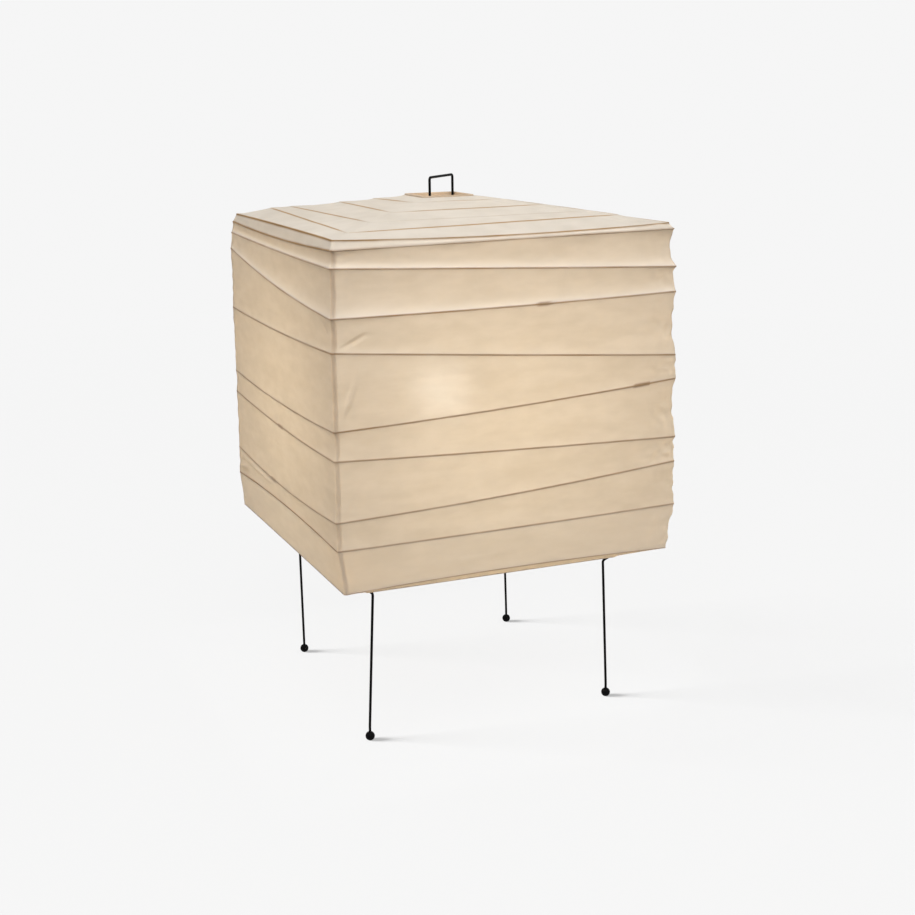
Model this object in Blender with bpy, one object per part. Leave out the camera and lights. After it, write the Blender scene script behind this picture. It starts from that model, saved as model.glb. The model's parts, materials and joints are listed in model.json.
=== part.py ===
"""Paper table lamp: a box shade of paper over thin ribs, carried by a wire stand on ball feet.

Metres, +Z up. The origin is on the floor under the middle of the lamp, and the front looks along -Y.
The shade lifts straight up off the stand, and the bulb turns in its holder, both on the Z axis.
"""
import math

import bmesh
import bpy
from mathutils import Quaternion, Vector

# Fits
CLEARANCE = 0.0003

# Shade: the box between its rim and its base, measured over the paper at the rim
SHADE_WIDTH = 0.370
RIM_HEIGHT = 0.526
BASE_HEIGHT = 0.185
EAVE_INSET = 0.004
EAVE_RISE = 0.008
TOP_RISE = 0.024
BOTTOM_DROP = 0.015

# Frames at the two mouths of the shade
TOP_FRAME_WIDTH = 0.060
TOP_FRAME_BAR = 0.003
TOP_FRAME_DEPTH = 0.0045
TOP_FRAME_PROUD = 0.0015
BOTTOM_FRAME_WIDTH = 0.290
BOTTOM_FRAME_BAR = 0.0035
BOTTOM_FRAME_DEPTH = 0.003
FRAME_INNER_BEND = 0.0015

# Paper, and how far it draws in between two ribs as a share of their spacing:
# in the middle of a side, at the four corners, and on the top and the bottom
PAPER = 0.0004
SIDE_SAG_MIDDLE = 0.03
SIDE_SAG_CORNERS = (0.03, 0.05, 0.04, 0.015)
END_SAG = 0.03
SIDE_BAND_STEPS = 4
END_BAND_STEPS = 2
PANEL_COLUMNS = 6

# Ribs, each one strip bent round four corners with its two ends lapped
RIB_DIAMETER = 0.0018
RIB_BEND = 0.004
RIB_LAP = 0.020
LAP_TUCK = 0.0002

# Places of the side ribs at the four corners, as shares of the height from base to rim,
# how far each rib stands out beyond the rim, then the face and the share along it where its ends lap
SIDE_RIBS = (
    ((0.944, 0.891, 0.915, 0.959), 0.0010, "right", 0.55),
    ((0.804, 0.815, 0.848, 0.906), 0.0025, "front", 0.60),
    ((0.709, 0.620, 0.651, 0.702), 0.0032, "right", 0.40),
    ((0.482, 0.546, 0.504, 0.480), 0.0032, "front", 0.90),
    ((0.397, 0.362, 0.387, 0.407), 0.0036, "left", 0.50),
    ((0.216, 0.284, 0.241, 0.206), 0.0048, "left", 0.40),
    ((0.130, 0.145, 0.123, 0.113), 0.0037, "back", 0.60),
)
# How far each corner of the base stands out beyond the rim, because the shade is built by hand,
# the places of the rim's corners as shares of that height, and how far the eave hangs at each corner
BASE_SPREAD = (-0.005, 0.0, -0.001, 0.0025)
RIM_SHARES = (0.993, 1.005, 1.0035, 0.995)
EAVE_HANG = (0.0028, 0.0004, 0.0004, 0.0009)
# The same for the top ribs, as shares of the way from the eave to the top frame
TOP_RIBS = (
    ((0.152, 0.245, 0.205, 0.212), "right", 0.35),
    ((0.390, 0.390, 0.350, 0.331), "back", 0.50),
    ((0.630, 0.635, 0.620, 0.626), "right", 0.60),
    ((0.887, 0.854, 0.867, 0.821), "back", 0.40),
)
# Where the ends of the three ribs along the edges of the box lap
RIM_LAP = ("back", 0.30)
EAVE_LAP = ("back", 0.70)
BASE_LAP = ("back", 0.25)
# The way into the shade from those edges and from the bottom frame: towards the axis, and up
EAVE_WAY = (0.8, -0.8)
BASE_WAY = (1.0, 0.8)
FOOT_WAY = (0.5, 0.9)

# Wire stand
WIRE_DIAMETER = 0.0028
WIRE_SIDES = 2
LEG_BEND = 0.005
HOOK_REACH = 0.005
HOOK_DROP = 0.0085
HOOK_RAMP = 0.005
LEG_STRAIGHT = 0.015
ARM_RISE = 0.0105
WIRE_END_GAP = 0.0015
STRETCHER_BEND = 0.003
SHOULDER_REACH = 0.012
HANDLE_HEIGHT = 0.022
HANDLE_GAP = 0.0006
# How far each foot stands from the top of its leg, because the wires are bent by hand
FOOT_LEAN = {
    "front_left": (-0.0082, -0.0022),
    "front_right": (0.0052, -0.0002),
    "back_right": (0.0022, -0.0028),
    "back_left": (0.0018, 0.0032),
}

# Ball feet
FOOT_DIAMETER = 0.010
FOOT_FLAT = 0.0005
FOOT_HOLE_DEPTH = 0.0055

# Plate, threaded stem, nuts and cord gland
PLATE_DIAMETER = 0.044
PLATE_THICKNESS = 0.002
STEM_DIAMETER = 0.010
STEM_WALL = 0.00125
STEM_BELOW_PLATE = 0.016
NUT_WALL = 0.0017
NUT_HEIGHT = 0.005
GLAND_WALL = 0.0022
GLAND_SLEEVE = 0.007
GLAND_LIP = 0.006
GLAND_CHAMFER = 0.0015
CORD_HOLE = 0.0065

# Lampholder
HOLDER_RISE = 0.057
HOLDER_ROOM = 0.0043
HOLDER_WALL = 0.002
HOLDER_NECK_WALL = 0.0032
HOLDER_NECK_HEIGHT = 0.010
FLARE_RISE = 0.008
FLARE_REACH = 0.004
SKIRT_HEIGHT = 0.032
SKIRT_TAPER = 0.001
INSERT_THICKNESS = 0.007
SHELL_WALL = 0.0004
SHELL_HEIGHT = 0.024
CONTACT_DIAMETER = 0.010
CONTACT_THICKNESS = 0.0015

# Bulb
BULB_DIAMETER = 0.060
BULB_LENGTH = 0.105
BULB_ROUND = math.radians(125)
NECK_STEP = 0.001
GLASS_WALL = 0.001
BASE_DIAMETER = 0.026
BASE_LENGTH = 0.022
INSULATOR_HEIGHT = 0.004
INSULATOR_STEP = 0.0013
TIP_DIAMETER = 0.009
TIP_HEIGHT = 0.002
TIP_CHAMFER = 0.0013

# Facets
ROUND_STEPS = 24
FOOT_STEPS = 12
BULB_STEPS = 20
BULB_ROWS = 8
NECK_ROWS = 3
FRAME_CORNER_STEPS = 3
BEND_STEP = math.radians(30)
SMOOTH_ANGLE = math.radians(35)
PAPER_SMOOTH_ANGLE = math.radians(50)

CORNERS = ("front_left", "front_right", "back_right", "back_left")
SIGNS = ((-1, -1), (1, -1), (1, 1), (-1, 1))
FACES = ("front", "right", "back", "left")

# Heights and places that follow from the sizes above
SHADE_HALF = SHADE_WIDTH / 2
SIDE_HEIGHT = RIM_HEIGHT - BASE_HEIGHT
EAVE_HALF = SHADE_HALF - EAVE_INSET
EAVE_HEIGHT = RIM_HEIGHT + EAVE_RISE
PAPER_TOP_HALF = TOP_FRAME_WIDTH / 2 + CLEARANCE
PAPER_TOP_HEIGHT = EAVE_HEIGHT + TOP_RISE
TOP_FRAME_HIGH = PAPER_TOP_HEIGHT + TOP_FRAME_PROUD
TOP_FRAME_LOW = TOP_FRAME_HIGH - TOP_FRAME_DEPTH
TOP_FRAME_INNER = TOP_FRAME_WIDTH / 2 - TOP_FRAME_BAR
BOTTOM_FRAME_HEIGHT = BASE_HEIGHT - BOTTOM_DROP
BOTTOM_FRAME_INNER = BOTTOM_FRAME_WIDTH / 2 - BOTTOM_FRAME_BAR
PAPER_BOTTOM_HALF = BOTTOM_FRAME_WIDTH / 2 + CLEARANCE + PAPER / 2
RIB_OFFSET = PAPER + CLEARANCE + RIB_DIAMETER / 2
WIRE_RADIUS = WIRE_DIAMETER / 2
HOOK_HALF = BOTTOM_FRAME_INNER - CLEARANCE - WIRE_RADIUS
LEG_HALF = HOOK_HALF - HOOK_REACH
ARM_HEIGHT = BOTTOM_FRAME_HEIGHT + ARM_RISE
PLATE_HIGH = ARM_HEIGHT - WIRE_RADIUS - CLEARANCE
PLATE_LOW = PLATE_HIGH - PLATE_THICKNESS
STEM_HOLE = STEM_DIAMETER / 2 + CLEARANCE
NUT_WIDTH = 2 * (STEM_HOLE + NUT_WALL)
NUT_CORNER = NUT_WIDTH / 2 / math.cos(math.pi / 6)
WIRE_START = NUT_CORNER + WIRE_END_GAP
STRETCHER_OFFSET = WIRE_DIAMETER + CLEARANCE
SHOULDER_HEIGHT = TOP_FRAME_LOW - CLEARANCE - WIRE_RADIUS
HANDLE_TOP = TOP_FRAME_HIGH + HANDLE_HEIGHT - WIRE_DIAMETER
FOOT_RADIUS = FOOT_DIAMETER / 2
FOOT_CENTRE = FOOT_RADIUS - FOOT_FLAT
SHELL_INNER = BASE_DIAMETER / 2 + CLEARANCE
SHELL_OUTER = SHELL_INNER + SHELL_WALL
HOLDER_INNER = SHELL_OUTER + HOLDER_ROOM
HOLDER_OUTER = HOLDER_INNER + HOLDER_WALL
HOLDER_LOW = PLATE_HIGH + HOLDER_RISE
FLARE_LOW = HOLDER_LOW + HOLDER_NECK_HEIGHT
FLARE_HIGH = FLARE_LOW + FLARE_RISE
INSERT_LOW = FLARE_HIGH + HOLDER_WALL / 2 + CLEARANCE
INSERT_HIGH = INSERT_LOW + INSERT_THICKNESS
CAP_HIGH = INSERT_HIGH - CLEARANCE
CONTACT_HIGH = INSERT_HIGH + CLEARANCE + CONTACT_THICKNESS
BULB_LOW = CONTACT_HIGH + CLEARANCE
INSULATOR_LOW = BULB_LOW + TIP_HEIGHT + CLEARANCE
BULB_CAP_LOW = INSULATOR_LOW + INSULATOR_HEIGHT + CLEARANCE
BULB_CAP_HIGH = BULB_CAP_LOW + BASE_LENGTH


class Level:
    """One ring on the paper: its four corners, and the way into the shade at each of them."""

    def __init__(self, corners, inward, rib_inward=None):
        self.corners = corners
        self.inward = inward
        self.rib_inward = rib_inward or inward

    def rib_corner(self, index):
        """The corner of the rib's centre line, just inside the paper."""
        return self.corners[index] + self.rib_inward[index] * RIB_OFFSET

    def moved(self, rise):
        """The same ring, a little higher or lower."""
        lifted = [corner + Vector((0, 0, rise)) for corner in self.corners]
        return Level(lifted, self.inward, self.rib_inward)


def ways(across, rise):
    """One direction for each corner, towards the axis by across and up by rise."""
    return [Vector((-x * across, -y * across, rise)) for x, y in SIGNS]


def side_level(shares, spreads, rib_way=(1, 0)):
    """A ring on the four sides: a share of their height and a spread beyond the rim for each corner."""
    corners = []
    for (x, y), share, spread in zip(SIGNS, shares, spreads):
        half = SHADE_HALF + spread
        corners.append(Vector((x * half, y * half, BASE_HEIGHT + share * SIDE_HEIGHT)))
    return Level(corners, ways(1, 0), ways(*rib_way))


def top_level(shares):
    """A ring on the low pyramid, at a share of the way from the eave to the top frame."""
    corners = []
    for (x, y), share in zip(SIGNS, shares):
        half = EAVE_HALF + share * (PAPER_TOP_HALF - EAVE_HALF)
        corners.append(Vector((x * half, y * half, EAVE_HEIGHT + share * TOP_RISE)))
    return Level(corners, ways(0, -1))


def eave_level():
    """The ring over the rim, where the top turns down to the sides."""
    corners = []
    for (x, y), hang in zip(SIGNS, EAVE_HANG):
        corners.append(Vector((x * EAVE_HALF, y * EAVE_HALF, EAVE_HEIGHT - hang)))
    return Level(corners, ways(*EAVE_WAY))


def flat_level(half, height, inward):
    """A level square ring."""
    return Level([Vector((x * half, y * half, height)) for x, y in SIGNS], inward)


def clear_scene():
    """Start from an empty scene."""
    for item in list(bpy.data.objects):
        bpy.data.objects.remove(item, do_unlink=True)


def finish(name, colour, roughness, metallic=0.0):
    """A plain material of one colour."""
    material = bpy.data.materials.new(name)
    material.use_nodes = True
    shader = material.node_tree.nodes["Principled BSDF"]
    shader.inputs["Base Color"].default_value = (*colour, 1.0)
    shader.inputs["Roughness"].default_value = roughness
    shader.inputs["Metallic"].default_value = metallic
    return material


def add_piece(name, data, material, parent):
    """Put one named sub-part in the scene under the body that it belongs to."""
    piece = bpy.data.objects.new(name, data)
    bpy.context.scene.collection.objects.link(piece)
    data.materials.append(material)
    piece.parent = parent
    return piece


def add_body(name):
    """An empty on the lamp's axis that carries the pieces of one body."""
    body = bpy.data.objects.new(name, None)
    bpy.context.scene.collection.objects.link(body)
    return body


def close_mesh(name, bm, smooth_angle=SMOOTH_ANGLE):
    """Turn a finished bmesh into a mesh with its faces pointing out."""
    bmesh.ops.recalc_face_normals(bm, faces=bm.faces)
    mesh = bpy.data.meshes.new(name)
    bm.to_mesh(mesh)
    bm.free()
    mesh.shade_smooth()
    mesh.set_sharp_from_angle(angle=smooth_angle)
    return mesh


def turned(name, profile, steps, material, parent, place=(0, 0)):
    """A piece of revolution about a vertical axis, from a closed outline of (radius, height)."""
    bm = bmesh.new()
    points = [bm.verts.new((radius, 0, height)) for radius, height in profile]
    edges = [bm.edges.new((a, b)) for a, b in zip(points, points[1:] + points[:1])
             if a.co.x > 0 or b.co.x > 0]
    bmesh.ops.spin(bm, geom=points + edges, axis=(0, 0, 1), cent=(0, 0, 0), angle=2 * math.pi,
                   steps=steps, use_merge=True)
    bmesh.ops.remove_doubles(bm, verts=bm.verts, dist=1e-6)
    piece = add_piece(name, close_mesh(name, bm), material, parent)
    piece.location = (*place, 0)
    return piece


def ring_solid(name, outer, inner, low, high, material, parent):
    """A flat ring between two outlines with as many points each."""
    bm = bmesh.new()
    loops = []
    for outline, height in ((outer, low), (outer, high), (inner, high), (inner, low)):
        loops.append([bm.verts.new((x, y, height)) for x, y in outline])
    for here, there in zip(loops, loops[1:] + loops[:1]):
        for index in range(len(outer)):
            after = (index + 1) % len(outer)
            bm.faces.new((here[index], here[after], there[after], there[index]))
    return add_piece(name, close_mesh(name, bm), material, parent)


def rounded_square(half, bend, steps=FRAME_CORNER_STEPS):
    """The outline of a square with round corners."""
    outline = []
    for index, (x, y) in enumerate(SIGNS):
        start = math.pi + index * math.pi / 2
        for step in range(steps + 1):
            angle = start + step / steps * math.pi / 2
            outline.append((x * (half - bend) + bend * math.cos(angle),
                            y * (half - bend) + bend * math.sin(angle)))
    return outline


def circle(radius, steps=ROUND_STEPS):
    """The outline of a circle."""
    return [(radius * math.cos(2 * math.pi * step / steps), radius * math.sin(2 * math.pi * step / steps))
            for step in range(steps)]


def hexagon(width, steps=ROUND_STEPS):
    """The outline of a hexagon across its flats, with as many points as a circle."""
    outline = []
    for step in range(steps):
        angle = 2 * math.pi * step / steps
        radius = width / 2 / math.cos(angle % (math.pi / 3) - math.pi / 6)
        outline.append((radius * math.cos(angle), radius * math.sin(angle)))
    return outline


def rounded_path(points, bend):
    """A polyline with each corner replaced by an arc."""
    path = [points[0]]
    for before, corner, after in zip(points, points[1:], points[2:]):
        back = (before - corner).normalized()
        ahead = (after - corner).normalized()
        turn = math.pi - back.angle(ahead)
        steps = round(turn / BEND_STEP)
        if steps < 1:
            path.append(corner)
            continue
        reach = bend * math.tan(turn / 2)
        centre = corner + (back + ahead).normalized() * (bend / math.cos(turn / 2))
        start = corner + back * reach - centre
        end = corner + ahead * reach - centre
        axis = start.cross(end).normalized()
        for step in range(steps + 1):
            path.append(centre + Quaternion(axis, turn * step / steps) @ start)
    path.append(points[-1])
    return path


def tube(name, points, diameter, resolution, material, parent):
    """A round rod along a polyline, with closed ends."""
    curve = bpy.data.curves.new(name, "CURVE")
    curve.dimensions = "3D"
    curve.bevel_depth = diameter / 2
    curve.bevel_resolution = resolution
    curve.use_fill_caps = True
    spline = curve.splines.new("POLY")
    spline.points.add(len(points) - 1)
    for target, point in zip(spline.points, points):
        target.co = (*point, 1)
    spline.use_smooth = True
    return add_piece(name, curve, material, parent)


def rib(name, level, lap_face, lap_share, material, parent, stacked=False):
    """One rib just inside the paper, whose two ends pass each other on one face.

    The ends lie side by side against the paper or, where the paper bends, stacked one inside the other.
    """
    first = FACES.index(lap_face)
    near = level.rib_corner(first)
    far = level.rib_corner((first + 1) % 4)
    run = far - near
    inward = (level.rib_inward[first] + level.rib_inward[(first + 1) % 4]).normalized()
    pitch = RIB_DIAMETER + CLEARANCE
    if stacked:
        start_shift = Vector((0, 0, 0))
        end_shift = inward * pitch
    else:
        start_shift = inward * LAP_TUCK + run.cross(inward).normalized() * pitch / 2
        end_shift = inward * LAP_TUCK - run.cross(inward).normalized() * pitch / 2
    middle = near + run * lap_share
    half_lap = run.normalized() * RIB_LAP / 2
    points = [middle - half_lap + start_shift, middle + half_lap + start_shift]
    points += [level.rib_corner((first + turn) % 4) for turn in range(1, 5)]
    points += [middle - half_lap + end_shift, middle + half_lap + end_shift]
    return tube(name, rounded_path(points, RIB_BEND), RIB_DIAMETER, 1, material, parent)


def panel_point(lower, upper, rise, face, across, sag):
    """One point on the outside of the paper, and the way into the shade there.

    rise runs from 0 at the lower ring to 1 at the upper one, across from corner to corner.
    sag is how far the paper draws in, in the middle of a face and at each corner.
    """
    after = (face + 1) % 4
    width = (lower.corners[after] - lower.corners[face]).length
    trim = CLEARANCE / width
    share = trim + (1 - 2 * trim) * across
    low = lower.corners[face].lerp(lower.corners[after], share)
    high = upper.corners[face].lerp(upper.corners[after], share)
    inward_low = lower.inward[face].lerp(lower.inward[after], share)
    inward = inward_low.lerp(upper.inward[face].lerp(upper.inward[after], share), rise)
    middle, corner_sags = sag
    edge = corner_sags[face] if across < 0.5 else corner_sags[after]
    fullness = middle + (edge - middle) * (2 * across - 1) ** 4
    depth = (high - low).length * fullness * 4 * rise * (1 - rise)
    return low.lerp(high, rise) + inward * depth, inward


def paper_panel(name, levels, face, sag, band_steps, material, parent):
    """One face of paper from ring to ring, drawn in between them, as a closed thin sheet."""
    bm = bmesh.new()
    rows = []
    for lower, upper in zip(levels, levels[1:]):
        steps = band_steps + 1 if upper is levels[-1] else band_steps
        for step in range(steps):
            outer = []
            inner = []
            for column in range(PANEL_COLUMNS + 1):
                across = (1 - math.cos(math.pi * column / PANEL_COLUMNS)) / 2
                point, inward = panel_point(lower, upper, step / band_steps, face, across, sag)
                outer.append(bm.verts.new(point))
                inner.append(bm.verts.new(point + inward * PAPER))
            rows.append(outer + inner[::-1])
    loop = len(rows[0])
    for here, there in zip(rows, rows[1:]):
        for index in range(loop):
            after = (index + 1) % loop
            bm.faces.new((here[index], here[after], there[after], there[index]))
    for row in (rows[0], rows[-1]):
        for index in range(PANEL_COLUMNS):
            bm.faces.new((row[index], row[index + 1], row[loop - 2 - index], row[loop - 1 - index]))
    return add_piece(name, close_mesh(name, bm, PAPER_SMOOTH_ANGLE), material, parent)


def make_shade(paper, bamboo, parent):
    """The paper, its ribs and the two frames."""
    base = side_level((0, 0, 0, 0), BASE_SPREAD, BASE_WAY)
    rim = side_level(RIM_SHARES, (0, 0, 0, 0))
    eave = eave_level()
    side_levels = [side_level(shares, (spread,) * 4) for shares, spread, face, share in SIDE_RIBS]
    top_levels = [top_level(shares) for shares, face, share in TOP_RIBS]
    for number, (level, (shares, spread, face, share)) in enumerate(zip(side_levels, SIDE_RIBS), 1):
        rib(f"rib_side_{number}", level, face, share, bamboo, parent)
    for number, (level, (shares, face, share)) in enumerate(zip(top_levels, TOP_RIBS), 1):
        rib(f"rib_top_{number}", level, face, share, bamboo, parent)
    rib("rib_rim", rim, *RIM_LAP, bamboo, parent, stacked=True)
    rib("rib_eave", eave, *EAVE_LAP, bamboo, parent, stacked=True)
    rib("rib_base", base, *BASE_LAP, bamboo, parent, stacked=True)

    half_gap = CLEARANCE / 2
    sides = [base.moved(half_gap)] + side_levels[::-1] + [rim.moved(-half_gap)]
    mouth = flat_level(PAPER_TOP_HALF, PAPER_TOP_HEIGHT, ways(0, -1))
    tops = [rim.moved(half_gap), eave] + top_levels + [mouth]
    foot = flat_level(PAPER_BOTTOM_HALF, BOTTOM_FRAME_HEIGHT, ways(*FOOT_WAY))
    bottoms = [foot, base.moved(-half_gap)]
    side_sag = (SIDE_SAG_MIDDLE, SIDE_SAG_CORNERS)
    end_sag = (END_SAG, (END_SAG,) * 4)
    for index, face in enumerate(FACES):
        paper_panel(f"paper_{face}", sides, index, side_sag, SIDE_BAND_STEPS, paper, parent)
        paper_panel(f"paper_top_{face}", tops, index, end_sag, END_BAND_STEPS, paper, parent)
        paper_panel(f"paper_bottom_{face}", bottoms, index, end_sag, END_BAND_STEPS, paper, parent)

    outer = rounded_square(TOP_FRAME_WIDTH / 2, FRAME_INNER_BEND + TOP_FRAME_BAR)
    inner = rounded_square(TOP_FRAME_INNER, FRAME_INNER_BEND)
    ring_solid("top_frame", outer, inner, TOP_FRAME_LOW, TOP_FRAME_HIGH, bamboo, parent)
    outer = rounded_square(BOTTOM_FRAME_WIDTH / 2, FRAME_INNER_BEND + BOTTOM_FRAME_BAR)
    inner = rounded_square(BOTTOM_FRAME_INNER, FRAME_INNER_BEND)
    low = BOTTOM_FRAME_HEIGHT - BOTTOM_FRAME_DEPTH / 2
    ring_solid("bottom_frame", outer, inner, low, low + BOTTOM_FRAME_DEPTH, bamboo, parent)


def make_leg(corner, sign, wire, rubber, parent):
    """One leg: from its ball foot up to the hook in the bottom frame's corner, then in to the plate."""
    x, y = sign
    lean_x, lean_y = FOOT_LEAN[corner]
    foot = Vector((x * LEG_HALF + lean_x, y * LEG_HALF + lean_y, 0))
    hole_floor = FOOT_CENTRE + FOOT_RADIUS - FOOT_HOLE_DEPTH
    start = WIRE_START / math.sqrt(2)
    points = [
        foot + Vector((0, 0, hole_floor + CLEARANCE)),
        foot + Vector((0, 0, LEG_STRAIGHT)),
        Vector((x * LEG_HALF, y * LEG_HALF, BOTTOM_FRAME_HEIGHT - HOOK_DROP)),
        Vector((x * HOOK_HALF, y * HOOK_HALF, BOTTOM_FRAME_HEIGHT - HOOK_DROP + HOOK_RAMP)),
        Vector((x * HOOK_HALF, y * HOOK_HALF, ARM_HEIGHT)),
        Vector((x * start, y * start, ARM_HEIGHT)),
    ]
    tube(f"leg_{corner}", rounded_path(points, LEG_BEND), WIRE_DIAMETER, WIRE_SIDES, wire, parent)
    make_foot(f"foot_{corner}", (foot.x, foot.y), hole_floor, rubber, parent)


def make_foot(name, place, hole_floor, rubber, parent):
    """A ball with a small flat under it and a blind hole for the wire."""
    hole = WIRE_RADIUS + CLEARANCE
    first = math.acos(FOOT_CENTRE / FOOT_RADIUS)
    last = math.pi - math.asin(hole / FOOT_RADIUS)
    profile = [(0, 0)]
    arc_steps = FOOT_STEPS // 2
    for step in range(arc_steps + 1):
        angle = first + (last - first) * step / arc_steps
        profile.append((FOOT_RADIUS * math.sin(angle), FOOT_CENTRE - FOOT_RADIUS * math.cos(angle)))
    profile += [(hole, hole_floor), (0, hole_floor)]
    turned(name, profile, FOOT_STEPS, rubber, parent, place)


def make_stretcher(wire, parent):
    """One wire from the plate up both sides of the bulb: shoulders for the top frame, then a handle."""
    along = Vector((1, 1, 0)).normalized()
    beside = Vector((1, -1, 0)).normalized() * STRETCHER_OFFSET
    skew = STRETCHER_OFFSET / math.sqrt(2)
    handle = (TOP_FRAME_INNER - skew) * math.sqrt(2) - STRETCHER_BEND - HANDLE_GAP
    upright = (TOP_FRAME_WIDTH / 2 - skew) * math.sqrt(2) + SHOULDER_REACH
    start = WIRE_START + WIRE_RADIUS
    outline = [(start, ARM_HEIGHT), (upright, ARM_HEIGHT), (upright, SHOULDER_HEIGHT),
               (handle, SHOULDER_HEIGHT), (handle, HANDLE_TOP)]
    points = [beside - along * out + Vector((0, 0, height)) for out, height in outline]
    points += [beside + along * out + Vector((0, 0, height)) for out, height in reversed(outline)]
    tube("stretcher_wire", rounded_path(points, STRETCHER_BEND), WIRE_DIAMETER, WIRE_SIDES, wire, parent)


def make_stem(steel, black, parent):
    """The plate under the wires, the threaded stem through it, its nuts and the cord gland."""
    plate = circle(PLATE_DIAMETER / 2)
    ring_solid("holder_plate", plate, circle(STEM_HOLE), PLATE_LOW, PLATE_HIGH, steel, parent)
    stem_low = PLATE_LOW - STEM_BELOW_PLATE
    stem_high = FLARE_LOW
    radius = STEM_DIAMETER / 2
    bore = radius - STEM_WALL
    stem = [(radius, stem_high), (radius, stem_low), (bore, stem_low), (bore, stem_high)]
    turned("stem_tube", stem, ROUND_STEPS, steel, parent)
    for name, low in (("stem_nut_upper", PLATE_HIGH + CLEARANCE),
                      ("stem_nut_lower", PLATE_LOW - CLEARANCE - NUT_HEIGHT)):
        ring_solid(name, hexagon(NUT_WIDTH), circle(STEM_HOLE), low, low + NUT_HEIGHT, steel, parent)
    outer = STEM_HOLE + GLAND_WALL
    ledge = stem_low - CLEARANCE
    gland_low = ledge - GLAND_LIP
    gland_high = stem_low + GLAND_SLEEVE
    gland = [(outer, gland_high), (outer, gland_low + GLAND_CHAMFER), (outer - GLAND_CHAMFER, gland_low),
             (CORD_HOLE / 2, gland_low), (CORD_HOLE / 2, ledge), (STEM_HOLE, ledge), (STEM_HOLE, gland_high)]
    turned("cord_gland", gland, ROUND_STEPS, black, parent)


def make_holder(black, porcelain, brass, parent):
    """The lampholder: a flared cap on the stem, a skirt, and the insert with its shell and contact."""
    neck = STEM_HOLE + HOLDER_NECK_WALL
    cap = [(HOLDER_OUTER, CAP_HIGH), (HOLDER_OUTER, FLARE_HIGH), (HOLDER_OUTER - FLARE_REACH, FLARE_LOW),
           (neck, FLARE_LOW - HOLDER_WALL), (neck, HOLDER_LOW), (STEM_HOLE, HOLDER_LOW),
           (STEM_HOLE, FLARE_LOW), (HOLDER_INNER - FLARE_REACH, FLARE_LOW + HOLDER_WALL),
           (HOLDER_INNER, FLARE_HIGH + HOLDER_WALL / 2), (HOLDER_INNER, CAP_HIGH)]
    turned("holder_cap", cap, ROUND_STEPS, black, parent)
    skirt_low = CAP_HIGH + CLEARANCE
    skirt_high = skirt_low + SKIRT_HEIGHT
    skirt = [(HOLDER_OUTER - SKIRT_TAPER, skirt_high), (HOLDER_OUTER, skirt_low), (HOLDER_INNER, skirt_low),
             (HOLDER_INNER - SKIRT_TAPER, skirt_high)]
    turned("holder_skirt", skirt, ROUND_STEPS, black, parent)
    puck = HOLDER_INNER - CLEARANCE
    insert = [(0, INSERT_HIGH), (puck, INSERT_HIGH), (puck, INSERT_LOW), (0, INSERT_LOW)]
    turned("holder_insert", insert, ROUND_STEPS, porcelain, parent)
    shell_low = INSERT_HIGH + CLEARANCE
    shell_high = shell_low + SHELL_HEIGHT
    shell = [(SHELL_OUTER, shell_high), (SHELL_OUTER, shell_low), (SHELL_INNER, shell_low),
             (SHELL_INNER, shell_high)]
    turned("holder_screw_shell", shell, ROUND_STEPS, brass, parent)
    contact_low = CONTACT_HIGH - CONTACT_THICKNESS
    disc = CONTACT_DIAMETER / 2
    contact = [(0, CONTACT_HIGH), (disc, CONTACT_HIGH), (disc, contact_low), (0, contact_low)]
    turned("holder_contact", contact, ROUND_STEPS, brass, parent)


def glass_outline(shrink):
    """The bulb's outline from its crown down to its neck, made smaller by the wall for the inside."""
    ball = BULB_DIAMETER / 2 - shrink
    neck = BASE_DIAMETER / 2 + NECK_STEP - shrink
    centre = BULB_LOW + BULB_LENGTH - BULB_DIAMETER / 2
    outline = []
    for row in range(BULB_ROWS + 1):
        angle = BULB_ROUND * row / BULB_ROWS
        outline.append((ball * math.sin(angle), centre + ball * math.cos(angle)))
    wide, high = outline[-1]
    low = BULB_CAP_HIGH + CLEARANCE
    for row in range(1, NECK_ROWS + 1):
        share = 1 - row / NECK_ROWS
        outline.append((neck + (wide - neck) * share ** 2, low + (high - low) * share))
    return outline


def make_bulb(glass, black, brass, parent):
    """A round bulb: glass, screw cap, insulator and tip."""
    outside = glass_outline(0)
    inside = glass_outline(GLASS_WALL)
    turned("bulb_glass", outside + inside[::-1], BULB_STEPS, glass, parent)
    radius = BASE_DIAMETER / 2
    cap = [(0, BULB_CAP_HIGH), (radius, BULB_CAP_HIGH), (radius, BULB_CAP_LOW), (0, BULB_CAP_LOW)]
    turned("bulb_cap", cap, ROUND_STEPS, brass, parent)
    insulator_high = INSULATOR_LOW + INSULATOR_HEIGHT
    rim = radius - INSULATOR_STEP
    insulator = [(0, insulator_high), (rim, insulator_high), (rim - INSULATOR_HEIGHT, INSULATOR_LOW),
                 (0, INSULATOR_LOW)]
    turned("bulb_insulator", insulator, ROUND_STEPS, black, parent)
    tip_high = BULB_LOW + TIP_HEIGHT
    tip_edge = TIP_DIAMETER / 2
    tip = [(0, tip_high), (tip_edge, tip_high), (tip_edge - TIP_CHAMFER, BULB_LOW), (0, BULB_LOW)]
    turned("bulb_contact", tip, ROUND_STEPS, brass, parent)


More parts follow.
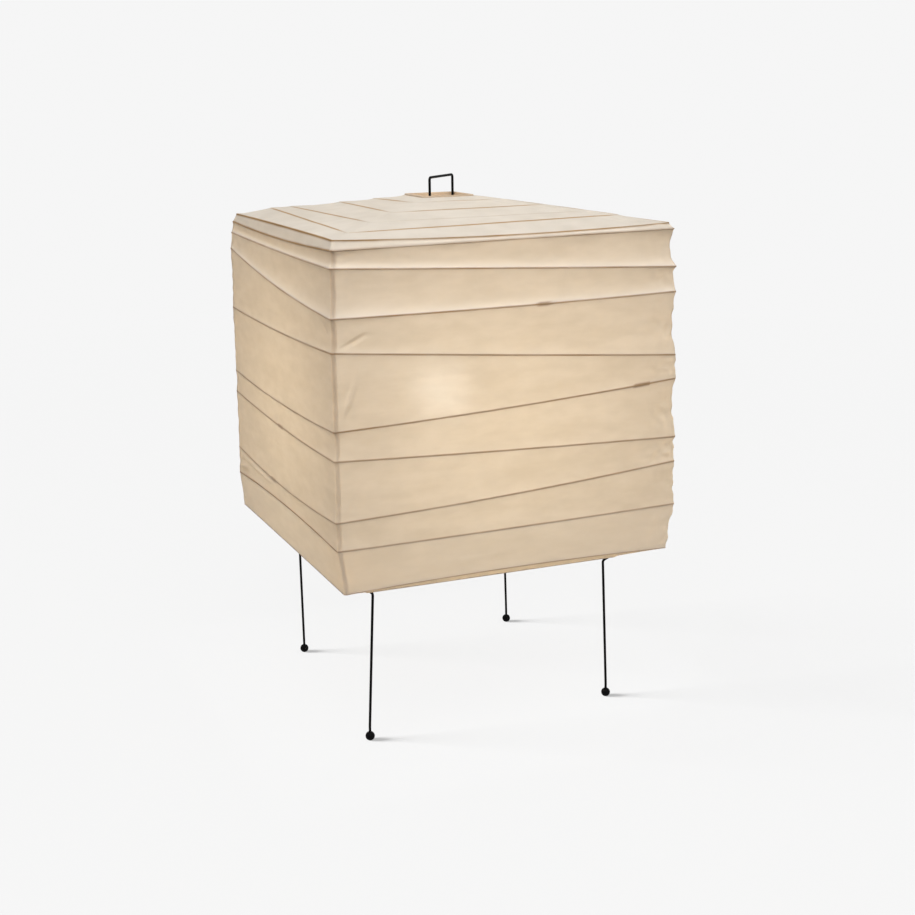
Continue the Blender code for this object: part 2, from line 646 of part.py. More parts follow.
def main():
    clear_scene()
    paper = finish("shade_paper", (0.80, 0.66, 0.48), 0.85)
    bamboo = finish("rib_bamboo", (0.45, 0.30, 0.17), 0.6)
    wire = finish("black_wire", (0.012, 0.012, 0.012), 0.4, 0.3)
    rubber = finish("black_rubber", (0.015, 0.015, 0.015), 0.7)
    steel = finish("zinc_steel", (0.55, 0.55, 0.56), 0.35, 1.0)
    black = finish("black_plastic", (0.02, 0.02, 0.02), 0.45)
    porcelain = finish("white_porcelain", (0.85, 0.84, 0.80), 0.3)
    brass = finish("brass", (0.72, 0.52, 0.22), 0.3, 1.0)
    glass = finish("frosted_glass", (0.95, 0.93, 0.88), 0.5)

    stand = add_body("stand")
    shade = add_body("shade")
    bulb = add_body("bulb")
    shade.parent = stand
    bulb.parent = stand

    make_shade(paper, bamboo, shade)
    for corner, sign in zip(CORNERS, SIGNS):
        make_leg(corner, sign, wire, rubber, stand)
    make_stretcher(wire, stand)
    make_stem(steel, black, stand)
    make_holder(black, porcelain, brass, stand)
    make_bulb(glass, black, brass, bulb)


main()
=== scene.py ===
"""Looks of the paper table lamp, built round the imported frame.

Metres, +Z up, in the frame's own axes: the front looks along -Y.
The paper, ribs, wires and fittings are modelled here in fine meshes where the frame's nodes are.
"""
import json
import math
import random
from dataclasses import dataclass

import bmesh
import bpy
from mathutils import Matrix, Quaternion, Vector, noise

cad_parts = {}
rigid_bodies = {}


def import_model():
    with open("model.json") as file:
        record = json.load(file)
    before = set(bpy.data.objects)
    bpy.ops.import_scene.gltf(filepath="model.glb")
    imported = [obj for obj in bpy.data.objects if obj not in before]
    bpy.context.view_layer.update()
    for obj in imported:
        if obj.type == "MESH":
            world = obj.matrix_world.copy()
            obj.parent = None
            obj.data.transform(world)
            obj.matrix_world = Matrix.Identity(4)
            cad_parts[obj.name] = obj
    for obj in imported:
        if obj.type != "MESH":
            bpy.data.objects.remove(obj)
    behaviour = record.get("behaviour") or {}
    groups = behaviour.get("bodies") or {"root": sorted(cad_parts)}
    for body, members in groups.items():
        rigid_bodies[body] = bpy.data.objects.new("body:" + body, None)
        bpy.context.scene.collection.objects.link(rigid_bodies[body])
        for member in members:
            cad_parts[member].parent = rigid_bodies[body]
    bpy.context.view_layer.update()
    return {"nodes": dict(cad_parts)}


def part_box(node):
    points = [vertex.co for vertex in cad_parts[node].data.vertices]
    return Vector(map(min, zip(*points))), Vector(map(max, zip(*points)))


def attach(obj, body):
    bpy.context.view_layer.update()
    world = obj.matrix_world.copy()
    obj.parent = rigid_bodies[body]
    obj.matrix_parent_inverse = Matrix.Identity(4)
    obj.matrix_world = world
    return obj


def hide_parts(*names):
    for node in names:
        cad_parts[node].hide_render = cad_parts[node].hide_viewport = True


for item in list(bpy.data.objects):
    bpy.data.objects.remove(item, do_unlink=True)
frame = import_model()

# Camera, fitted to the photograph
PICTURE = 915
FOCAL_PIXELS = 1475.6
SENSOR = 36.0
CAMERA_PLACE = Vector((-0.6036, -1.5163, 0.6676))
CAMERA_YAW = math.radians(22.285)
CAMERA_PITCH = math.radians(13.932)
CAMERA_ROLL = math.radians(0.792)

# Studio: a pale surround, a soft light overhead, and a low light that only the floor takes
BACKGROUND = 0.92
WORLD_LIGHT = 0.57
KEY_PLACE = Vector((-0.32, -1.06, 2.20))
KEY_AIM = Vector((0, 0, 0.35))
KEY_SIZE = 1.6
KEY_POWER = 29.0
FLOOR_SIZE = 60.0
FLOOR_COLOUR = 0.08
FLOOR_BOUNCE = 0.027
FLOOR_GLOW = 0.50
FLOOR_NEAR = 0.8
FLOOR_FAR = 3.0
FLOOR_LIGHT = 97.0
FLOOR_LIGHT_RISE = math.radians(20)
FLOOR_LIGHT_ANGLE = math.radians(25)
BULB_POWER = 1.97
BULB_LIGHT_RADIUS = 0.012
BULB_LIGHT_RISE = 0.001

# The order of the corners and faces round the lamp, and the same value at all four
CORNER_SIGNS = ((-1, -1), (1, -1), (1, 1), (-1, 1))
CORNERS = ("front_left", "front_right", "back_right", "back_left")
FACES = ("front", "right", "back", "left")
ZEROS = (0.0,) * 4
ONES = (1.0,) * 4

# The gap that neighbouring pieces keep
GAP = 0.0003

# Ribs: their thickness, how deep their middle lies under the outside of the paper, their bends and their laps
RIB_RADIUS = 0.0009
RIB_DEPTH = 0.0016
RIB_BEND = 0.004
RIB_SIDES = 3
RIB_SPACING = 0.012
RIB_LAP = 0.020
LAP_CLEAR = 1.5
LAP_TUCK = 0.0002
CORNER_REACH = 0.010
SIDE_RIBS = 7
STACKED_RIBS = ("rib_rim", "rib_eave", "rib_base")
# The thinnest share of a rib's thickness, how much more it may have, and the knuckles along it
RIB_THIN = 0.90
RIB_UNEVEN = 0.08
KNUCKLE = 0.10
KNUCKLE_EVERY = 40
# How far each side rib, the rim, the eave and the base bow down in the middle of each face
RIB_BOWS = (
    (0.0003, 0.0012, -0.0010, 0.0015),
    (0.0017, -0.0010, 0.0022, 0.0060),
    (0.0007, 0.0020, 0.0011, 0.0032),
    (0.0027, 0.0014, -0.0018, 0.0050),
    (0.0010, 0.0030, 0.0020, 0.0042),
    (0.0032, 0.0009, 0.0030, 0.0066),
    (0.0008, -0.0020, 0.0012, -0.0047),
)
RIM_BOWS = (0.0, 0.0006, 0.0010, 0.0035)
EAVE_BOWS = (0.0038, 0.0005, 0.0010, -0.0008)
BASE_BOWS = (-0.0034, -0.0010, -0.0008, -0.0004)
BOW_STEPS = 12
# How far the corners of the base, the eave and each rib of the top stand above where the frame has them
BASE_LIFTS = (-0.0045, -0.0015, -0.0015, -0.0020)
EAVE_LIFTS = (0.0023, 0.0004, 0.0, 0.0006)
TOP_LIFTS = (
    (0.0, 0.0012, 0.0, 0.0022),
    (0.0, 0.0012, 0.0, 0.0014),
    (0.0, 0.0010, 0.0, 0.0004),
    (0.0, 0.0008, 0.0, 0.0),
)
# How far the base, each side rib from the lowest up, the rim and the eave reach out further than in the
# frame, at the front right corner and at the back left one
SPREADS = (
    (0.0005, 0.0), (0.0027, 0.0018), (0.0010, 0.0), (0.0025, 0.0010), (0.0021, 0.0010),
    (0.0017, 0.0010), (0.0018, 0.0012), (0.0033, 0.0012), (0.0021, 0.0006), (0.0021, 0.0006),
)
# How far the paper hangs over the bottom frame
FOOT_HANG = 0.0030

# The way into the shade at each kind of ring: towards the axis, and up
SIDE_WAY = (1.0, 0.0)
EAVE_WAY = (0.8, -0.8)
TOP_WAY = (0.0, -1.0)
BASE_WAY = (1.0, 0.8)
FOOT_WAY = (0.5, 0.9)

# Paper: thickness, corner rounding, and the tab that laps round a corner on to the next face
PAPER = 0.00025
CORNER_ROUND = 0.003
LAP_RISE = 0.0003
LAP_STEEP = 2.5
SIDE_TAB = 0.0018
TAB_STEPS = 3
TAB_WANDER = 0.25

# Colours of the paper, on the top a darker copy of the sides' that is painted shade for the stronger light on
# it, and of the light that comes through it, and the shares of light that it lets through
SIDE_COLOUR = (0.825, 0.757, 0.655)
TOP_COLOUR = (0.724, 0.672, 0.600)
PAPER_GLOW = (0.945, 0.822, 0.625)
SIDE_TRANSLUCENCY = 0.35
TOP_TRANSLUCENCY = 0.12
PAPER_DIRECT = 0.075
DIRECT_SPREAD = 0.46
DIRECT_COLOUR = (0.98, 0.97, 0.92)

# Painted highlight: just above each rib the paper is painted paler, where light from above catches it: the
# colour there, how far up that reaches, and how strong it is in each band from the base to the rim
PALE_COLOUR = (0.97, 0.95, 0.91)
PALE_REACH = 0.0055
PALE_BANDS = (0.0, 0.0, 0.0, 0.0, 0.05, 0.20, 1.0, 1.0)
# The lowest band of the sides and of the top, by corner: how pale it is painted all over, as a painted
# highlight for light falling on it, and how much light it lets through. A corner's own value falls off along
# the faces
PALE_BASE = (0.42, 0.29, 0.29, 0.29)
PALE_EAVE = (0.20,) * 4
BASE_LIT = (1.35, 1.0, 1.0, 1.0)
EAVE_LIT = (0.5,) * 4
BOTTOM_LIT = (1.3,) * 4
CORNER_FALL = 3.0

# How far the paper draws in between ribs, in each band from the base to the rim: in the middle of a face,
# where it hangs over the rib below, and at the front right corner, with each corner's share of that
SIDE_HANGS = (0.0004, 0.0004, 0.0004, 0.0006, 0.0006, 0.0010, 0.0028, 0.0030)
HANG_REACH = 0.008
SIDE_DRAWS = (0.0004, 0.0008, 0.0012, 0.0021, 0.0004, 0.0022, 0.0021, 0.0036)
CORNER_SHARES = (0.8, 1.0, 0.9, 0.25)
END_SAG = 0.020
SAG_POWER = 3.0
WINDOW_POWER = 4
TUCK = 0.0003
TUCK_REACH = 0.0010
# Dents in the corners: corner, height, depth
CORNER_DENTS = ((1, 0.432, 0.0011), (1, 0.338, 0.0008), (2, 0.350, 0.0010), (2, 0.440, 0.0008))
DENT_REACH = 0.007

# Rows near each rib, and the steps between them, along a face and round a corner
RIB_ROWS = (0.0, 0.0004, 0.0008, 0.0016, 0.0030)
ROW_STEP = 0.0035
NEAR_COLUMN = 0.002
NEAR_REACH = 0.030
FAR_COLUMN = 0.007
ARC_STEPS = 5

# The line over a rib: how far it reaches, its share at the edge, and both where the rib's ends lap
SIDE_LINE = 0.0004
TOP_LINE = 0.0008
LINE_EDGE = 0.25
LAP_LINE = 3
LAP_EDGE = 0.5
# How strongly the base, each side rib and the rim show through, and how they differ by face
SIDE_LINES = (0.9, 0.65, 0.80, 0.90, 0.92, 1.0, 1.0, 1.0, 0.9)
SIDE_FACE_LINES = (1.0, 0.9, 0.9, 0.75)
LOWEST_FACE_LINES = (1.0, 1.0, 1.2, 1.6)
# The same for the rim, the eave, each rib of the top and its mouth, first on all faces, then on the front
TOP_LINES = (0.9, 1.4, 1.0, 1.0, 1.0, 1.0, 0.3)
TOP_FRONT_LINES = (0.6, 0.75, 2.2, 0.2, 1.9, 0.6, 0.6)
TOP_OTHER_LINES = (0.8, 0.8, 1.5)
BOTTOM_LINES = (0.5, 0.9)
# How far from each corner the lines of the top fade, and what is left of them on the hips
HIP_FADES = (0.045, 0.022, 0.022, 0.022)
HIP_LINE = 0.15
# The paper's laps: painted shade on the tab and each corner, darkest at the front right, where doubled paper
# and a turned edge get less light, the heights between which that fades in, and the light let through
LAP_TINT = 0.06
CORNER_TINTS = (0.20, 0.38, 0.20, 0.20)
LAP_FROM = 0.31
LAP_TO = 0.43
LAP_GLOW = 1.5

# Unevenness of the paper, and the places in the noise that it is read from
WAVE_HEIGHT = 0.0008
WAVE_SIZE = 0.070
WAVE_SQUASH = 1.4
RIPPLE_HEIGHT = 0.00026
RIPPLE_SIZE = 0.016
CRUMPLE_HEIGHT = (0.0006, 0.0018, 0.0012, 0.0007)
CRUMPLE_SIZE = 0.008
CRUMPLE_REACH = 0.018
CORNER_FADE = 0.004
CREASE_WIDTH = 0.0020
FACE_SEED = 3.1
CORNER_SEED = 9.7
RIPPLE_SEED = 40
CRUMPLE_SEED = 80
OFF_GRID = 0.3
# Creases in millimetres: face, distance from its first corner and height at the start, the same at the end,
# and how far they stand out
CREASES = (
    ("front", 2, 428, 37, 445, -1.6),
    ("front", 6, 363, 21, 397, 2.0),
    ("front", 9, 267, 12, 284, 0.7),
    ("front", 4, 269, 7, 281, 0.5),
    ("front", 347, 476, 361, 486, 0.7),
    ("front", 342, 433, 362, 424, -0.9),
    ("front", 343, 346, 362, 334, -0.8),
    ("front", 347, 215, 361, 234, 0.7),
    ("front", 90, 199, 215, 208, 0.5),
    ("front", 150, 213, 265, 220, -0.4),
    ("right", 4, 410, 26, 426, -0.9),
    ("right", 4, 264, 21, 250, 0.7),
    ("right", 342, 330, 360, 343, 0.7),
    ("right", 120, 204, 240, 199, 0.5),
    ("back", 5, 350, 23, 369, -0.8),
    ("back", 341, 439, 360, 453, 0.7),
    ("back", 100, 200, 230, 207, 0.5),
    ("left", 342, 456, 361, 440, -0.7),
    ("left", 338, 299, 359, 316, 0.7),
    ("left", 3, 344, 20, 352, 0.5),
    ("left", 110, 203, 220, 198, 0.4),
    ("left", 4, 247.5, 150, 243.5, 1.8),
    ("left", 2, 240, 34, 243, -2.0),
    ("left", 2, 233, 40, 239, 2.0),
    ("left", 3, 227, 46, 233, -1.6),
)

# Wires: the bends of the legs and the stretcher
WIRE_RADIUS = 0.0014
WIRE_SIDES = 6
WIRE_TURN = math.radians(6)
WIRE_SPACING = 0.02
WIRE_END_GAP = 0.0015
LEG_BEND = 0.005
LEG_STRAIGHT = 0.015
HOOK_REACH = 0.005
HOOK_DROP = 0.0085
HOOK_RAMP = 0.005
STRETCHER_BEND = 0.003
SHOULDER_REACH = 0.012
HANDLE_GAP = 0.0006

# Frames at the two mouths of the shade
TOP_FRAME_BAR = 0.003
BOTTOM_FRAME_BAR = 0.0035
FRAME_BEND = 0.0015
FRAME_EASE = 0.0004
FRAME_CORNER_STEPS = 6

# Stand fittings
FOOT_FLAT = 0.0005
FOOT_ROWS = 18
FOOT_STEPS = 36
STEM_BORE = 0.00375
STEM_PITCH = 0.001
STEM_THREAD = 0.0005
STEM_ROWS = 6
GLAND_LIP = 0.006
GLAND_CHAMFER = 0.0015
CORD_HOLE = 0.00325
NUT_ROWS = 4
NUT_SLOPE = math.radians(30)

# Lampholder
HOLDER_WALL = 0.002
HOLDER_NECK_WALL = 0.0032
HOLDER_NECK_HEIGHT = 0.010
FLARE_RISE = 0.008
FLARE_REACH = 0.004
SKIRT_TAPER = 0.001
SKIRT_FLUTES = 36
FLUTE_DEPTH = 0.0005
FLUTE_FROM = 0.15
FLUTE_TO = 0.80
FLUTE_FADE = 0.1
SHELL_WALL = 0.0004
SHELL_ROWS = 8

# Bulb
NECK_RADIUS = 0.014
GLASS_WALL = 0.001
BULB_ROUND = math.radians(125)
BULB_ROWS = 24
NECK_ROWS = 12
SCREW_PITCH = 0.0036
SCREW_DEPTH = 0.0008
SCREW_MARGIN = 0.0001
INSULATOR_SLOPE = 0.004
TIP_CHAMFER = 0.0013

# Turned pieces: node, body, slot, steps round, and for some how far the edges are rounded and the row spacing
TURNED = {
    "stem": ("stem_tube", "stand", "zinc_steel", 24),
    "plate": ("holder_plate", "stand", "zinc_steel", 72, 0.0005),
    "stem_nut_upper": ("stem_nut_upper", "stand", "zinc_steel", 72),
    "stem_nut_lower": ("stem_nut_lower", "stand", "zinc_steel", 72),
    "gland": ("cord_gland", "stand", "black_plastic", 48, 0.0005),
    "cap": ("holder_cap", "stand", "black_plastic", 72, 0.0008),
    "skirt": ("holder_skirt", "stand", "black_plastic", 6 * SKIRT_FLUTES, 0.0007, 0.0015),
    "insert": ("holder_insert", "stand", "white_porcelain", 48, 0.0006),
    "contact": ("holder_contact", "stand", "brass", 48, 0.0004),
    "shell": ("holder_screw_shell", "stand", "brass", 48),
    "glass": ("bulb_glass", "bulb", "frosted_glass", 64),
    "bulb_cap": ("bulb_cap", "bulb", "brass", 48, 0.0008, 0.00045),
    "insulator": ("bulb_insulator", "bulb", "black_plastic", 48, 0.0006),
    "tip": ("bulb_contact", "bulb", "brass", 48, 0.0008),
}


class Look:
    """The nodes of a material or of the world, with short ways to add them and join them."""

    def __init__(self, owner, shader="Principled BSDF", output="Material Output"):
        owner.use_nodes = True
        self.owner = owner
        self.tree = owner.node_tree
        self.shader = self.tree.nodes[shader]
        self.output = self.tree.nodes[output]

    def put(self, socket, value):
        """Join an output to an input, or give the input a value."""
        if isinstance(value, bpy.types.NodeSocket):
            self.tree.links.new(value, socket)
        else:
            socket.default_value = value

    def add(self, kind, inputs=None, **settings):
        """A node with its settings and its inputs."""
        node = self.tree.nodes.new(kind)
        for name, value in settings.items():
            setattr(node, name, value)
        for name, value in (inputs or {}).items():
            self.put(node.inputs[name], value)
        return node

    def read(self, output, kind, inputs=None, **settings):
        """One output of a new node."""
        return self.add(kind, inputs, **settings).outputs[output]

    def place(self):
        """The place on the object."""
        return self.read("Object", "ShaderNodeTexCoord")

    def noise(self, scale, detail=4.0, stretch=(1, 1, 1), warp=0.0, **settings):
        """A cloudy value round one half, stretched along the object's axes."""
        where = self.read("Vector", "ShaderNodeMapping", {"Vector": self.place(), "Scale": stretch})
        inputs = {"Vector": where, "Scale": scale, "Detail": detail, "Distortion": warp}
        return self.read("Fac", "ShaderNodeTexNoise", inputs, **settings)

    def span(self, value, low, high, to_low=0.0, to_high=1.0):
        """A value moved from one range to another, and held within it."""
        names = ("Value", "From Min", "From Max", "To Min", "To Max")
        inputs = dict(zip(names, (value, low, high, to_low, to_high)))
        return self.read("Result", "ShaderNodeMapRange", inputs)

    def maths(self, operation, first, second=0.0):
        """One sum on two values."""
        return self.read(0, "ShaderNodeMath", {0: first, 1: second}, operation=operation)

    def blend(self, share, first, second):
        """A colour between two others."""
        node = self.add("ShaderNodeMix", data_type="RGBA")
        for name, value in (("Factor", share), ("A", first), ("B", second)):
            self.put(next(socket for socket in node.inputs if socket.name == name and socket.enabled), value)
        return next(socket for socket in node.outputs if socket.enabled)

    def bump(self, height, strength, distance):
        """A normal from a height."""
        inputs = {"Height": height, "Strength": strength, "Distance": distance}
        return self.read("Normal", "ShaderNodeBump", inputs)

    def mix(self, share, first, second):
        """A shader between two others."""
        return self.add("ShaderNodeMixShader", {0: share, 1: first.outputs[0], 2: second.outputs[0]})

    def seen_rays(self):
        """1 for rays from the camera, straight or by way of metal and glass, and 0 for the rest."""
        path = self.add("ShaderNodeLightPath").outputs
        total = path["Is Camera Ray"]
        for name in ("Is Glossy Ray", "Is Transmission Ray"):
            total = self.maths("MAXIMUM", total, path[name])
        return total

    def show(self, shader):
        """Send a shader to the output."""
        self.tree.links.new(shader.outputs[0], self.output.inputs["Surface"])
        return self.owner

    def finish(self, **inputs):
        """Set the main shader's inputs, with underscores for spaces in their names."""
        for name, value in inputs.items():
            self.put(self.shader.inputs[name.replace("_", " ")], value)
        return self.owner


def material(name):
    """The look of a new material."""
    return Look(bpy.data.materials.new(name))


def grey(value):
    """A neutral colour."""
    return (value, value, value, 1.0)


def tint(colour, *shares):
    """A colour as it is, or with all of it or each part made darker or lighter."""
    shares = shares if len(shares) == 3 else (shares or (1.0,)) * 3
    return tuple(min(1.0, part * share) for part, share in zip(colour, shares)) + (1.0,)


def paper_look():
    """Thin fibrous paper, brown over a rib, that more light shines through where glow is higher.

    Painted highlights lie above the ribs and on the lowest bands. Painted shade lies on the top, on the laps
    and in the light along the ribs.
    """
    look = material("paper")
    rib, glow, painted_highlight = [look.read("Fac", "ShaderNodeAttribute", attribute_name=name)
                            for name in ("rib", "glow", "painted_highlight")]
    broad = look.noise(32.0, 5.0, (0.4, 0.4, 2.0))
    fine = look.noise(110.0, 4.0, (0.4, 0.4, 1.0))
    clouds = look.span(look.maths("ADD", broad, fine), 0.75, 1.25)
    fibres = look.noise(210.0, 3.0, (1.0, 1.0, 0.45), noise_type="RIDGED_MULTIFRACTAL", normalize=True)
    strand = look.span(fibres, 0.72, 0.95, 0.0, 0.35)
    # Painted shade: where glow is 0, on the top, the paper takes the darker top colour in place of the sides'
    dull = look.blend(glow, tint(TOP_COLOUR, 0.94, 0.93, 0.91), tint(SIDE_COLOUR, 0.935, 0.925, 0.905))
    pale = look.blend(glow, tint(TOP_COLOUR, 1.05), tint(SIDE_COLOUR, 1.055))
    fibrous = look.blend(strand, look.blend(clouds, dull, pale), tint(SIDE_COLOUR, 1.06))
    # Painted highlight: paler paper just above each rib and over the lowest bands, for the light that falls
    # there
    fibrous = look.blend(painted_highlight, fibrous, tint(PALE_COLOUR))
    line = look.maths("MULTIPLY", rib, look.span(look.noise(22.0, 5.0), 0.35, 0.65, 0.65, 1.0))
    # The brown of a rib seen through the paper, and painted shade where the line marks a lap or corner
    front = look.blend(line, fibrous, tint(SIDE_COLOUR, 0.58, 0.39, 0.21))
    lit = look.blend(strand, tint(PAPER_GLOW), tint(PAPER_GLOW, 0.88))
    # Painted shadow: the light through the paper is painted darker along each rib and lap, as their shade on
    # it
    back = look.blend(line, lit, tint(PAPER_GLOW, 0.6, 0.45, 0.3))
    rough = look.maths("MULTIPLY", look.maths("ADD", fibres, look.noise(900.0, 3.0)), 0.5)
    normal = look.bump(rough, 0.25, 0.0002)
    look.finish(Base_Color=front, Roughness=0.8, Specular_IOR_Level=0.25, Normal=normal)
    spread = look.add("ShaderNodeBsdfTranslucent", {"Color": back, "Normal": normal})
    through = {"Color": tint(DIRECT_COLOUR), "Roughness": DIRECT_SPREAD, "IOR": 1.4}
    direct = look.add("ShaderNodeBsdfRefraction", through)
    share = look.span(glow, 0.0, 2.0, TOP_TRANSLUCENCY, 2 * SIDE_TRANSLUCENCY - TOP_TRANSLUCENCY)
    return look.show(look.mix(PAPER_DIRECT, look.mix(share, look.shader, spread), direct))


def bamboo_look(name, dark, pale):
    """Split bamboo, with its grain along each of the four sides."""
    look = material(name)
    parts = look.add("ShaderNodeSeparateXYZ", {"Vector": look.place()}).outputs
    beside = look.maths("GREATER_THAN", *[look.maths("ABSOLUTE", parts[axis]) for axis in "XY"])
    grains = [look.noise(900.0, 4.0, stretch) for stretch in ((0.03, 1.0, 1.0), (1.0, 0.03, 1.0))]
    grain = look.blend(beside, *grains)
    streaked = look.blend(look.span(grain, 0.3, 0.7), tint(dark), tint(pale))
    patch = look.span(look.noise(30.0, 3.0), 0.35, 0.75, 0.0, 0.5)
    return look.finish(Base_Color=look.blend(patch, streaked, tint(dark, 1.2)),
                       Roughness=look.span(grain, 0.2, 0.8, 0.45, 0.7),
                       Normal=look.bump(grain, 0.4, 0.0003))


def plain_look(name, dark, pale, clouds, shares, grain, rough, relief, **inputs):
    """A plain material: clouds share out its two colours, and a grain its roughness and relief."""
    look = material(name)
    colour = look.blend(look.span(look.noise(*clouds), *shares), dark, pale)
    grain = look.noise(*grain)
    return look.finish(Base_Color=colour, Roughness=look.span(grain, *rough),
                       Normal=look.bump(grain, *relief), **inputs)


def wire_look():
    """Steel wire under satin black paint."""
    return plain_look("painted_wire", grey(0.001), grey(0.003), (35.0, 2.0), (0.3, 0.7),
                      (260.0, 4.0), (0.25, 0.75, 0.40, 0.60), (0.15, 0.0002), Specular_IOR_Level=0.05)


def rubber_look():
    """Dull black rubber."""
    return plain_look("foot_rubber", grey(0.001), grey(0.004), (700.0, 4.0), (0.0, 1.0),
                      (700.0, 4.0), (0.25, 0.75, 0.5, 0.75), (0.25, 0.0002), Specular_IOR_Level=0.07)


def steel_look():
    """Zinc-plated steel with a faint bluish crystal pattern."""
    return plain_look("zinc_plate", (0.47, 0.48, 0.50, 1.0), (0.66, 0.65, 0.62, 1.0),
                      (160.0, 4.0), (0.3, 0.7), (600.0, 3.0, (1.0, 1.0, 0.1)),
                      (0.2, 0.8, 0.26, 0.46), (0.1, 0.0001), Metallic=1.0)


def plastic_look():
    """Black moulded phenolic plastic."""
    return plain_look("moulded_plastic", grey(0.012), grey(0.026), (45.0, 3.0, (1, 1, 1), 1.5), (0.3, 0.7),
                      (420.0, 4.0), (0.25, 0.75, 0.28, 0.42), (0.06, 0.0002))


def porcelain_look():
    """Glazed white porcelain."""
    return plain_look("porcelain", (0.80, 0.79, 0.74, 1.0), (0.88, 0.87, 0.84, 1.0), (90.0, 4.0), (0.0, 1.0),
                      (90.0, 4.0), (0.2, 0.8, 0.12, 0.26), (0.08, 0.0002))


def brass_look():
    """Thin pressed brass, a little tarnished."""
    return plain_look("pressed_brass", (0.80, 0.58, 0.25, 1.0), (0.55, 0.37, 0.15, 1.0),
                      (120.0, 5.0), (0.35, 0.7), (120.0, 5.0),
                      (0.2, 0.8, 0.22, 0.42), (0.08, 0.0002), Metallic=1.0)


def bulb_look():
    """Frosted glass lit from inside, warmer and fainter towards its neck."""
    look = material("frosted_bulb")
    low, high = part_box("bulb_glass")
    height = look.read("Z", "ShaderNodeSeparateXYZ", {"Vector": look.place()})
    rise = look.span(height, low.z, (low.z + high.z) / 2)
    colour = look.blend(rise, (1.0, 0.58, 0.25, 1.0), (1.0, 0.88, 0.68, 1.0))
    frost = look.noise(900.0, 3.0)
    mottle = look.span(look.noise(60.0, 3.0), 0.3, 0.7, 0.9, 1.0)
    strength = look.maths("MULTIPLY", mottle, look.span(rise, 0.0, 1.0, 0.25, 0.72))
    return look.finish(Base_Color=look.blend(frost, grey(0.26), grey(0.32)), Roughness=0.4,
                       Emission_Color=colour, Emission_Strength=strength,
                       Normal=look.bump(frost, 0.1, 0.0001))


def floor_look():
    """A pale floor as bright as the background, which keeps soft shadows and throws little light back."""
    look = material("floor")
    far = look.read("Value", "ShaderNodeVectorMath", {0: look.place()}, operation="LENGTH")
    share = look.span(far, FLOOR_NEAR, FLOOR_FAR, FLOOR_GLOW, 1.0)
    glow = look.add("ShaderNodeEmission", {"Color": grey(BACKGROUND)})
    matt = look.add("ShaderNodeBsdfDiffuse", {"Color": grey(FLOOR_COLOUR)})
    look.finish(Base_Color=grey(FLOOR_BOUNCE), Roughness=0.9, Specular_IOR_Level=0.0)
    return look.show(look.mix(look.seen_rays(), look.shader, look.mix(share, matt, glow)))


# The material of each slot, and the paler one of the two frames
LOOKS = {
    "shade_paper": paper_look(),
    "rib_bamboo": bamboo_look("bamboo", (0.36, 0.20, 0.085), (0.66, 0.45, 0.25)),
    "pale_bamboo": bamboo_look("pale_bamboo", (0.46, 0.34, 0.23), (0.66, 0.53, 0.39)),
    "black_wire": wire_look(),
    "black_rubber": rubber_look(),
    "zinc_steel": steel_look(),
    "black_plastic": plastic_look(),
    "white_porcelain": porcelain_look(),
    "brass": brass_look(),
    "frosted_glass": bulb_look(),
}


def placed(name, data):
    """A new object in the scene."""
    made = bpy.data.objects.new(name, data)
    bpy.context.scene.collection.objects.link(made)
    return made


def piece(name, data, body, slot, node, look=None):
    """Put one piece in the scene, on its body, in place of the frame's node."""
    made = placed(name, data)
    data.materials.append(LOOKS[look or slot])
    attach(made, body)
    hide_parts(node)
    return made


def smooth_mesh(name, bm, angle):
    """A mesh with smooth faces and sharp edges."""
    mesh = bpy.data.meshes.new(name)
    bm.to_mesh(mesh)
    bm.free()
    mesh.shade_smooth()
    mesh.set_sharp_from_angle(angle=math.radians(angle))
    return mesh


def bridge(bm, here, there):
    """Faces between two closed loops of points."""
    for index in range(len(here)):
        after = (index + 1) % len(here)
        bm.faces.new((here[index], here[after], there[after], there[index]))


class Ring:
    """One closed line round the paper: four corners on its outside, and the way into the shade."""

    def __init__(self, corners, way, bows=ZEROS, name=""):
        self.corners = corners
        self.way = way
        self.bows = bows
        self.name = name
        self.lap_face = None
        self.lap_share = 0.0

    def bow(self, face, share):
        """How far the ring bows away from the straight line at a share of one face."""
        return Vector((0, 0, -4 * self.bows[face] * share * (1 - share)))

    def run(self, face, share):
        """A point along one face, from its first corner to its second."""
        return self.corners[face].lerp(self.corners[(face + 1) % 4], share) + self.bow(face, share)

    def width(self, face):
        """The length of one face."""
        return (self.corners[(face + 1) % 4] - self.corners[face]).length

    def lap_distance(self, face, share):
        """How far along a face a point lies from the middle of the rib's lap, if that is there."""
        return abs(share - self.lap_share) * self.width(face) if face == self.lap_face else math.inf


def flat_ring(half, height, way):
    """A level square ring."""
    return Ring([Vector((x * half, y * half, height)) for x, y in CORNER_SIGNS], way)


